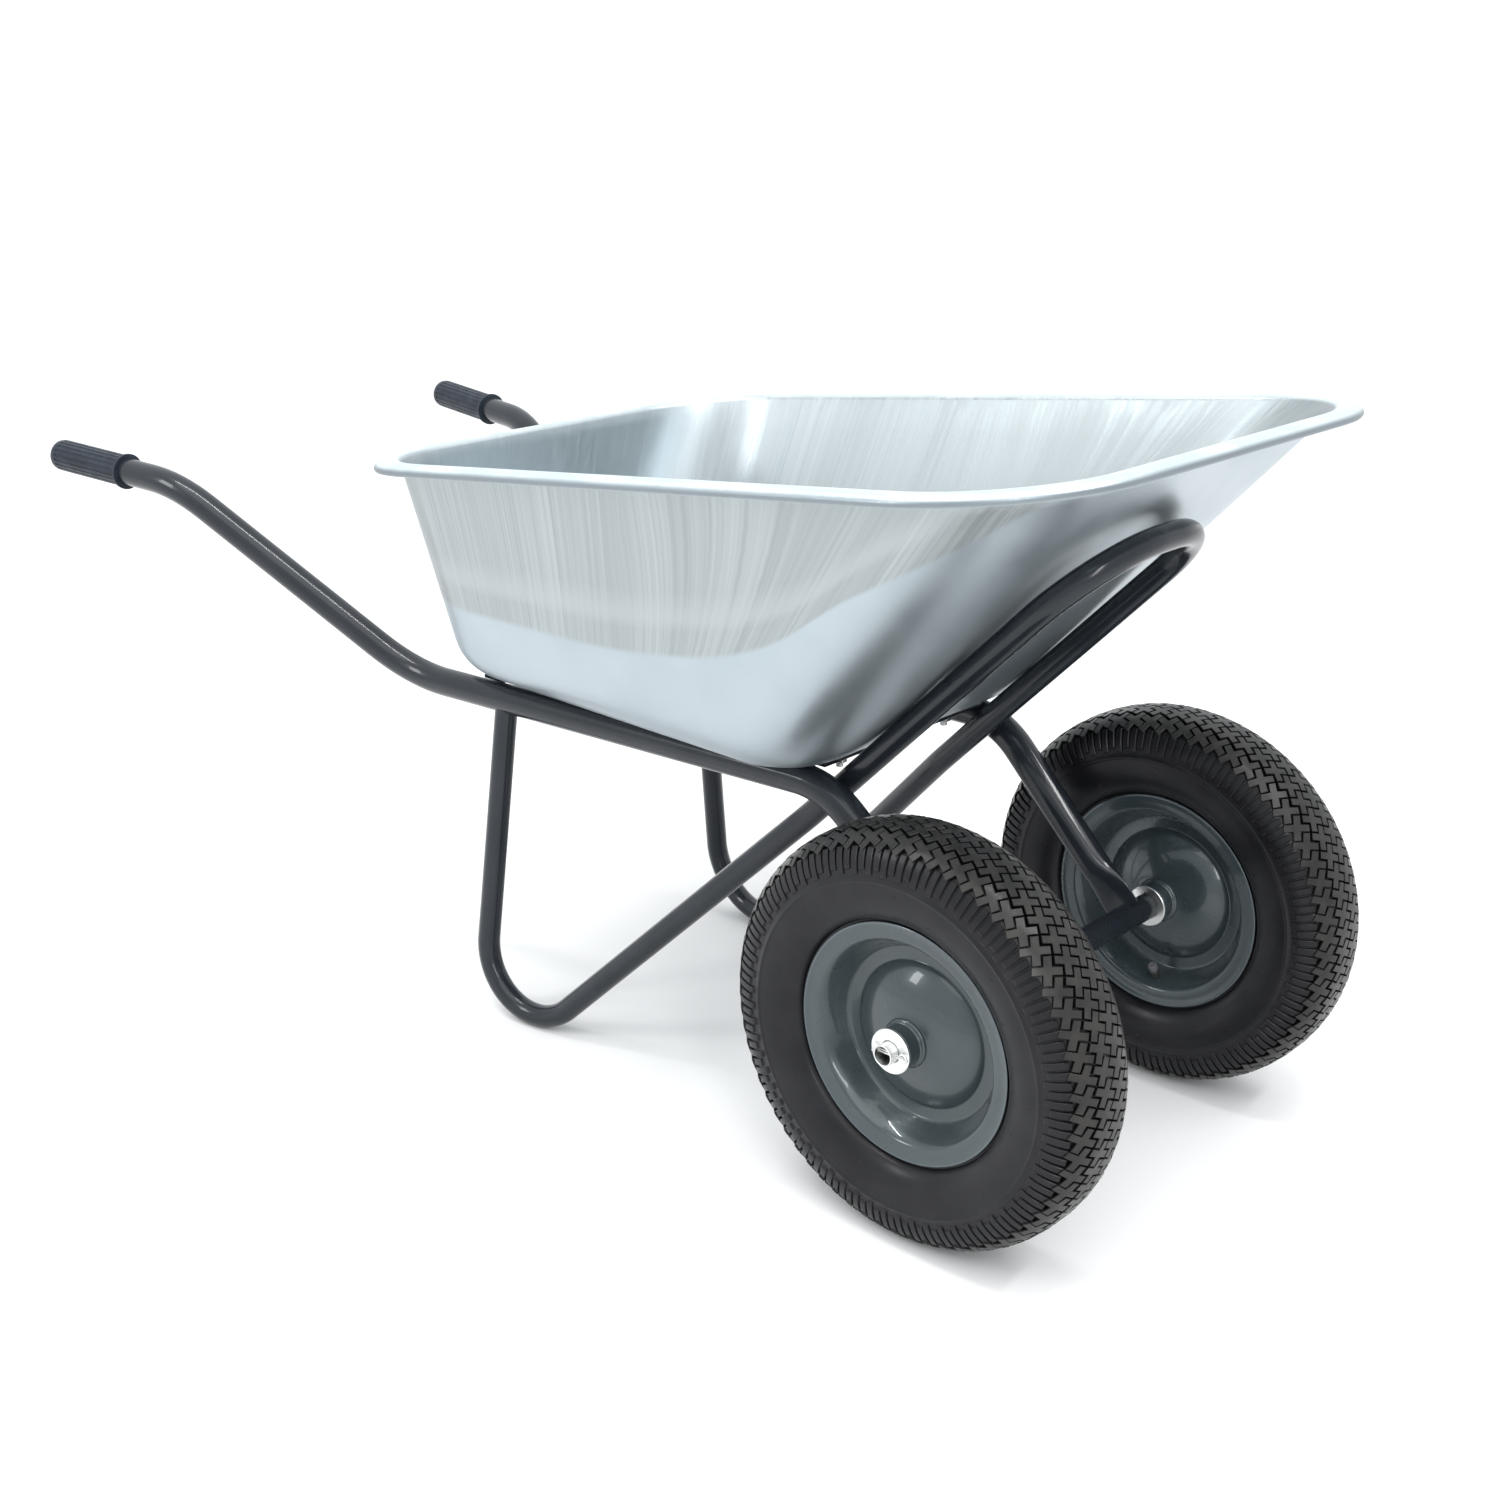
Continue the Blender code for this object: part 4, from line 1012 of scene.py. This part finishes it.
# ---------------------------------------------------------------- wheels
# the sections of what is turned about the axle's line are (radius, outward) points
RIM_PROFILE = [
    (0.0212, 0.0252), (0.0225, 0.0246), (0.0250, 0.0236), (0.0300, 0.0226), (0.0380, 0.0207),
    (0.0460, 0.0182), (0.0540, 0.0148), (0.0610, 0.0107), (0.0660, 0.0070), (0.0690, 0.0040),
    (0.0700, 0.0028), (0.0706, 0.0022), (0.0720, 0.0020), (0.0815, 0.0020), (0.0828, 0.0022),
    (0.0838, 0.0030), (0.0855, 0.0056), (0.0880, 0.0104), (0.0905, 0.0155), (0.0930, 0.0205),
    (0.0955, 0.0248), (0.0975, 0.0275), (0.0990, 0.0289), (0.1005, 0.0294), (0.1060, 0.0298),
    (0.1090, 0.0302), (0.1118, 0.0312), (0.1135, 0.0317), (0.1145, 0.0315), (0.1149, 0.0309),
]
RIM_SHEET = 0.0018
RIM_PLATE_RADIUS = 0.077  # of the flat ring where the two halves meet


def rim_half(where, side_name, out_side, centre):
    """One pressed half of the rim: collar, dome, flat plate, well, bead seat and flange."""
    name = f"rim_{where}_half_{side_name}"
    rim = turned(name + "_pressing", RIM_PROFILE, centre, out_side, 128, closed=False, angle=50)
    plate = min(
        rim.data.polygons, key=lambda face: abs((face.center - centre).length - RIM_PLATE_RADIUS)
    )
    if plate.normal.y * out_side < 0:
        edit(rim)
        bpy.ops.mesh.flip_normals()
        done_editing()
    apply_modifier(rim, "SOLIDIFY", thickness=RIM_SHEET, offset=-1.0, use_even_offset=True)
    smooth(rim, 50)
    hand_over(rim, "wheel_" + side_name, "rim_paint", RIM_PAINT, name)


CARCASS_PROFILE = [
    (0.1010, 0.0272), (0.1168, 0.0290), (0.1176, 0.0306), (0.1184, 0.0330), (0.1200, 0.0352),
    (0.1230, 0.0376), (0.1270, 0.0402), (0.1330, 0.0428), (0.1400, 0.0448), (0.1480, 0.0460),
    (0.1545, 0.0464), (0.1560, 0.0465), (0.1568, 0.0470), (0.1582, 0.0470), (0.1590, 0.0464),
    (0.1630, 0.0458), (0.1700, 0.0446), (0.1770, 0.0422), (0.1830, 0.0384), (0.1880, 0.0330),
    (0.1915, 0.0262), (0.1940, 0.0180), (0.1953, 0.0090),
]
LINING_PROFILE = [
    (0.1870, 0.0), (0.1850, 0.0200), (0.1790, 0.0320), (0.1650, 0.0385), (0.1450, 0.0395),
    (0.1300, 0.0355), (0.1150, 0.0270), (0.1010, 0.0200),
]
TREAD_PITCHES = 32
BLOCK_UNIT = pi * TYRE_RADIUS / TREAD_PITCHES / sqrt(5)  # a third of a cross block's width
BLOCK_HALF_GAP = 0.0009
BLOCK_HEIGHT = 0.0055
BLOCK_CHAMFER = 0.0005
# each row of blocks on one side: its distance from the tyre's middle plane, the radius of its tops,
# and in degrees how far it leans and how far it is bowed
TREAD_ROWS = ((0.0098, 0.1995, 4.5, 16), (0.0288, 0.1942, 29, 40))
RIB_OUTLINE = (
    (0.1868, 0.0388), (0.1838, 0.0410), (0.1795, 0.0432), (0.1740, 0.0452), (0.1685, 0.0465),
    (0.1640, 0.0470),
)
RIB_WIDTH = 0.0066
RIB_DEPTH = 0.0030
# where in a pitch each rib stands, and how many points of the outline it has
RIBS = ((0.125, 6), (0.375, 5), (0.625, 6), (0.875, 5))
PIP_RADIUS, PIP_HEIGHT, PIPS = 0.0017, 0.0008, 8
PIP_RINGS = ((0.1475, 0.0456, 0.0), (0.1330, 0.0424, 0.26))  # radius, outward place and turn


def cross_block(name, bow):
    """One tread block in the shape of a cross, with a chamfered top, bowed over the tyre's crown."""
    half_unit = BLOCK_UNIT / 2
    deselect()
    bpy.ops.mesh.primitive_plane_add(size=3 * BLOCK_UNIT)
    block = new_object(name)
    edit(block)
    bpy.ops.mesh.subdivide(number_cuts=2)
    select_faces(block, lambda face: min(abs(face.center.x), abs(face.center.y)) > half_unit)
    bpy.ops.mesh.delete(type="FACE")
    select_all()
    bpy.ops.mesh.inset(thickness=BLOCK_HALF_GAP)
    select_faces(block, lambda face: min_edge(block, face) < BLOCK_UNIT * 0.4)
    bpy.ops.mesh.delete(type="FACE")
    select_all()
    extrude((0, 0, BLOCK_HEIGHT - BLOCK_CHAMFER))
    bpy.ops.mesh.inset(thickness=BLOCK_CHAMFER)
    move((0, 0, BLOCK_CHAMFER))
    done_editing()
    place(block, Matrix.Rotation(-atan(0.5), 4, "Z"))
    face_outward(block)
    worn_above = BLOCK_HEIGHT - BLOCK_CHAMFER / 2
    mark_points(block, "worn", lambda vertex: float(vertex.co.z > worn_above))
    # The modifier bends what stands along Z, so the block is stood up for it and laid back.
    place(block, Matrix.Rotation(pi / 2, 4, "X"))
    angle = radians(bow)
    apply_modifier(block, "SIMPLE_DEFORM", deform_method="BEND", deform_axis="X", angle=angle)
    place(block, Matrix.Rotation(-pi / 2, 4, "X"))
    return block


def min_edge(piece, face):
    corners = [piece.data.vertices[i].co for i in face.vertices]
    return min((a - b).length for a, b in zip(corners, corners[1:] + corners[:1]))


def shoulder_rib(name, length):
    """A rib from the tread's shoulder down the side, along the tyre's outline."""
    rib = drawn_line(name, [(0, out, radius) for radius, out in RIB_OUTLINE[:length]], False)
    select_all()
    extrude((RIB_WIDTH, 0, 0))
    select_all()
    move((-RIB_WIDTH / 2, 0, 0))
    extrude((0, -RIB_DEPTH, -RIB_DEPTH))
    done_editing()
    face_outward(rib)
    angle = radians(50)
    apply_modifier(rib, "BEVEL", width=0.0006, segments=1, limit_method="ANGLE", angle_limit=angle)
    return rib


def tread(side_name, centre):
    """All the tread of a tyre: one pitch of blocks and ribs, copied round the axle's line."""
    pitch = 2 * pi / TREAD_PITCHES
    blocks = [cross_block("tread_block", bow) for *_, bow in TREAD_ROWS]
    pieces = []
    for hand in (1, -1):
        for (y, top, tilt, _), block in zip(TREAD_ROWS, blocks):
            for step in (0, 1):
                twin = copy_of(block, "tread_block_copy")
                lean = Matrix.Rotation(radians(-tilt * hand), 4, "X")
                seat = Matrix.Translation((0, y * hand, top - BLOCK_HEIGHT))
                around = Matrix.Rotation(pitch * step / 2, 4, "Y")
                place(twin, around @ seat @ lean)
                pieces.append(twin)
        for step, length in RIBS:
            rib = shoulder_rib("tread_rib", length)
            if hand < 0:
                place(rib, Matrix.Rotation(pi, 4, "Z"))
            place(rib, Matrix.Rotation(pitch * step, 4, "Y"))
            pieces.append(rib)
    for block in blocks:
        bpy.data.objects.remove(block)
    sector = join(pieces, "tread_" + side_name)
    place(sector, Matrix.Translation(centre))
    edit(sector)
    bpy.ops.mesh.spin(
        steps=TREAD_PITCHES - 1, angle=2 * pi - pitch, center=centre, axis=(0, 1, 0), dupli=True,
    )
    done_editing()
    return sector


def side_pips(side_name, centre):
    """Small round pips moulded on both sides of a tyre, in two rings."""
    pips = []
    for hand in (1, -1):
        for radius, out, turn in PIP_RINGS:
            spot = (0, hand * out, radius)
            pip = circle("side_pip", 10, PIP_RADIUS, spot, (-hand * pi / 2, 0, 0))
            extrude((0, hand * PIP_HEIGHT, 0))
            bpy.ops.transform.resize(value=(0.55, 1, 0.55), center_override=(0, 0, radius))
            done_editing()
            place(pip, Matrix.Translation(centre) @ Matrix.Rotation(turn, 4, "Y"))
            edit(pip)
            bpy.ops.mesh.spin(
                steps=PIPS - 1, angle=2 * pi * (PIPS - 1) / PIPS, center=centre, axis=(0, 1, 0),
                dupli=True,
            )
            done_editing()
            pips.append(pip)
    pips = join(pips, "side_pips_" + side_name)
    face_outward(pips)
    return pips


def tyre(side_name, centre):
    """The tyre: the turned carcass with its tread standing on it."""
    outside = CARCASS_PROFILE + [(r, -out) for r, out in reversed(CARCASS_PROFILE)]
    lining = [(r, -out) for r, out in reversed(LINING_PROFILE)] + LINING_PROFILE[1:]
    carcass = turned("tyre_carcass_" + side_name, outside + lining, centre, 1, 120, angle=40)
    blocks = tread(side_name, centre)
    smooth(blocks, 20)
    whole = join([carcass, blocks, side_pips(side_name, centre)], "tyre_" + side_name + "_moulded")
    hand_over(whole, "wheel_" + side_name, "tyre", RUBBER, "tyre_" + side_name)


HUB_PROFILE = [
    (0.0198, 0.0435), (0.0205, 0.0428), (0.0205, 0.0302), (0.0212, 0.0298), (0.0218, 0.0290),
    (0.0216, 0.0282), (0.0211, 0.0278), (0.0222, 0.0272), (0.0232, 0.0262), (0.0234, 0.0250),
    (0.0226, 0.0238), (0.0205, 0.0236),
]
HUB_BORE, HUB_BORE_END = 0.0180, 0.0431


def hub(side_name, centre):
    """The hub tube with a doubled ring where each rim half is welded to it."""
    profile = HUB_PROFILE + [(r, -out) for r, out in reversed(HUB_PROFILE)]
    profile += [(HUB_BORE, -HUB_BORE_END), (HUB_BORE, HUB_BORE_END)]
    tube = turned("hub_tube_" + side_name, profile, centre, 1, 64, angle=40)
    hand_over(tube, "wheel_" + side_name, "rim_paint", RIM_PAINT, "hub_" + side_name)


for side_name, side in SIDES:
    wheel_centre = Vector((AXLE.x, side * WHEEL_Y, AXLE.z))
    rim_half("outer", side_name, side, wheel_centre)
    rim_half("inner", side_name, -side, wheel_centre)
    hub(side_name, wheel_centre)
    tyre(side_name, wheel_centre)

KEPT_FINISHES = {
    "hub_bush": NYLON, "inner_tube": TRIM_RUBBER, "valve_stem": TRIM_RUBBER, "valve_cap": NYLON,
}
for node_name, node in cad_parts.items():
    for start, material in KEPT_FINISHES.items():
        if node_name.startswith(start):
            node.data.materials.clear()
            node.data.materials.append(material)


# ---------------------------------------------------------------- floor, lights and camera
def stage_floor():
    deselect()
    bpy.ops.mesh.primitive_plane_add(size=160)
    floor = new_object("studio_floor")
    paint = finish("studio_floor_paint", (0.72, 0.72, 0.72), 0.9, specular=0.1)[0]
    floor.data.materials.append(paint)


def linked(name, data):
    """A new object in the scene for a light or the camera."""
    thing = bpy.data.objects.new(name, data)
    bpy.context.scene.collection.objects.link(thing)
    return thing


def soft_light(name, location, target, size, power):
    """A rectangular softbox that points at a target."""
    data = bpy.data.lights.new(name, "AREA")
    data.shape = "RECTANGLE"
    data.size, data.size_y = size
    data.energy = power
    lamp = linked(name, data)
    lamp.location = location
    lamp.rotation_euler = (Vector(target) - Vector(location)).to_track_quat("-Z", "Y").to_euler()


def studio():
    """A pale grey room with a white horizon and ceiling, a broad high sun and four softboxes."""
    world = bpy.data.worlds.new("studio_room")
    bpy.context.scene.world = world
    world.use_nodes = True
    tree = world.node_tree
    background = tree.nodes["Background"]
    background.inputs["Strength"].default_value = 1.45
    place_node = tree.nodes.new("ShaderNodeTexCoord")
    split = tree.nodes.new("ShaderNodeSeparateXYZ")
    ramp = tree.nodes.new("ShaderNodeValToRGB")
    tree.links.new(place_node.outputs["Generated"], split.inputs[0])
    tree.links.new(split.outputs["Z"], ramp.inputs[0])
    tree.links.new(ramp.outputs[0], background.inputs["Color"])
    bands = ramp.color_ramp.elements
    bands[0].position, bands[0].color = 0.05, (1, 1, 1, 1)
    bands[1].position, bands[1].color = 0.12, (0.78, 0.82, 0.85, 1)
    for position, shade in ((0.55, (0.86, 0.90, 0.92, 1)), (0.85, (1.0, 1.0, 1.0, 1))):
        bands.new(position).color = shade
    sun_data = bpy.data.lights.new("high_sun", "SUN")
    sun_data.energy = 0.9
    sun_data.angle = radians(50)
    sun = linked("high_sun", sun_data)
    sun.rotation_euler = Vector((0.25, -0.45, 1.0)).to_track_quat("Z", "Y").to_euler()
    soft_light("overhead_strip", (0.2, -0.5, 3.0), (0, 0, 0.3), (3.0, 0.08), 55)
    soft_light("front_box", (3.2, -2.2, 2.2), (0.2, 0, 0.3), (0.5, 1.8), 34)
    soft_light("left_box", (-1.8, -3.2, 2.2), (0, 0, 0.4), (0.7, 1.3), 34)
    soft_light("high_front_strip", (2.1, 0.35, 2.6), (0, 0, 0.3), (1.6, 0.12), 20)


EYE_PLACE = Vector((0.95089, -1.45502, 1.03468))  # from the axle's middle, above the ground
EYE_YAW, EYE_PITCH, EYE_ROLL = radians(42.948), radians(19.886), radians(0.283)


def camera():
    """The camera, at the height and angle of someone beside the barrow."""
    data = bpy.data.cameras.new("camera")
    data.sensor_width = 36.0
    data.lens = 46.967
    data.clip_end = 200
    eye = linked("camera", data)
    turn = Matrix.Rotation(EYE_YAW, 4, "Z") @ Matrix.Rotation(pi / 2 - EYE_PITCH, 4, "X")
    roll = Matrix.Rotation(-EYE_ROLL, 4, "Z")
    eye.matrix_world = Matrix.Translation(shifted(EYE_PLACE)) @ turn @ roll
    bpy.context.scene.camera = eye


stage_floor()
studio()
camera()
bpy.context.scene.view_settings.view_transform = "Standard"
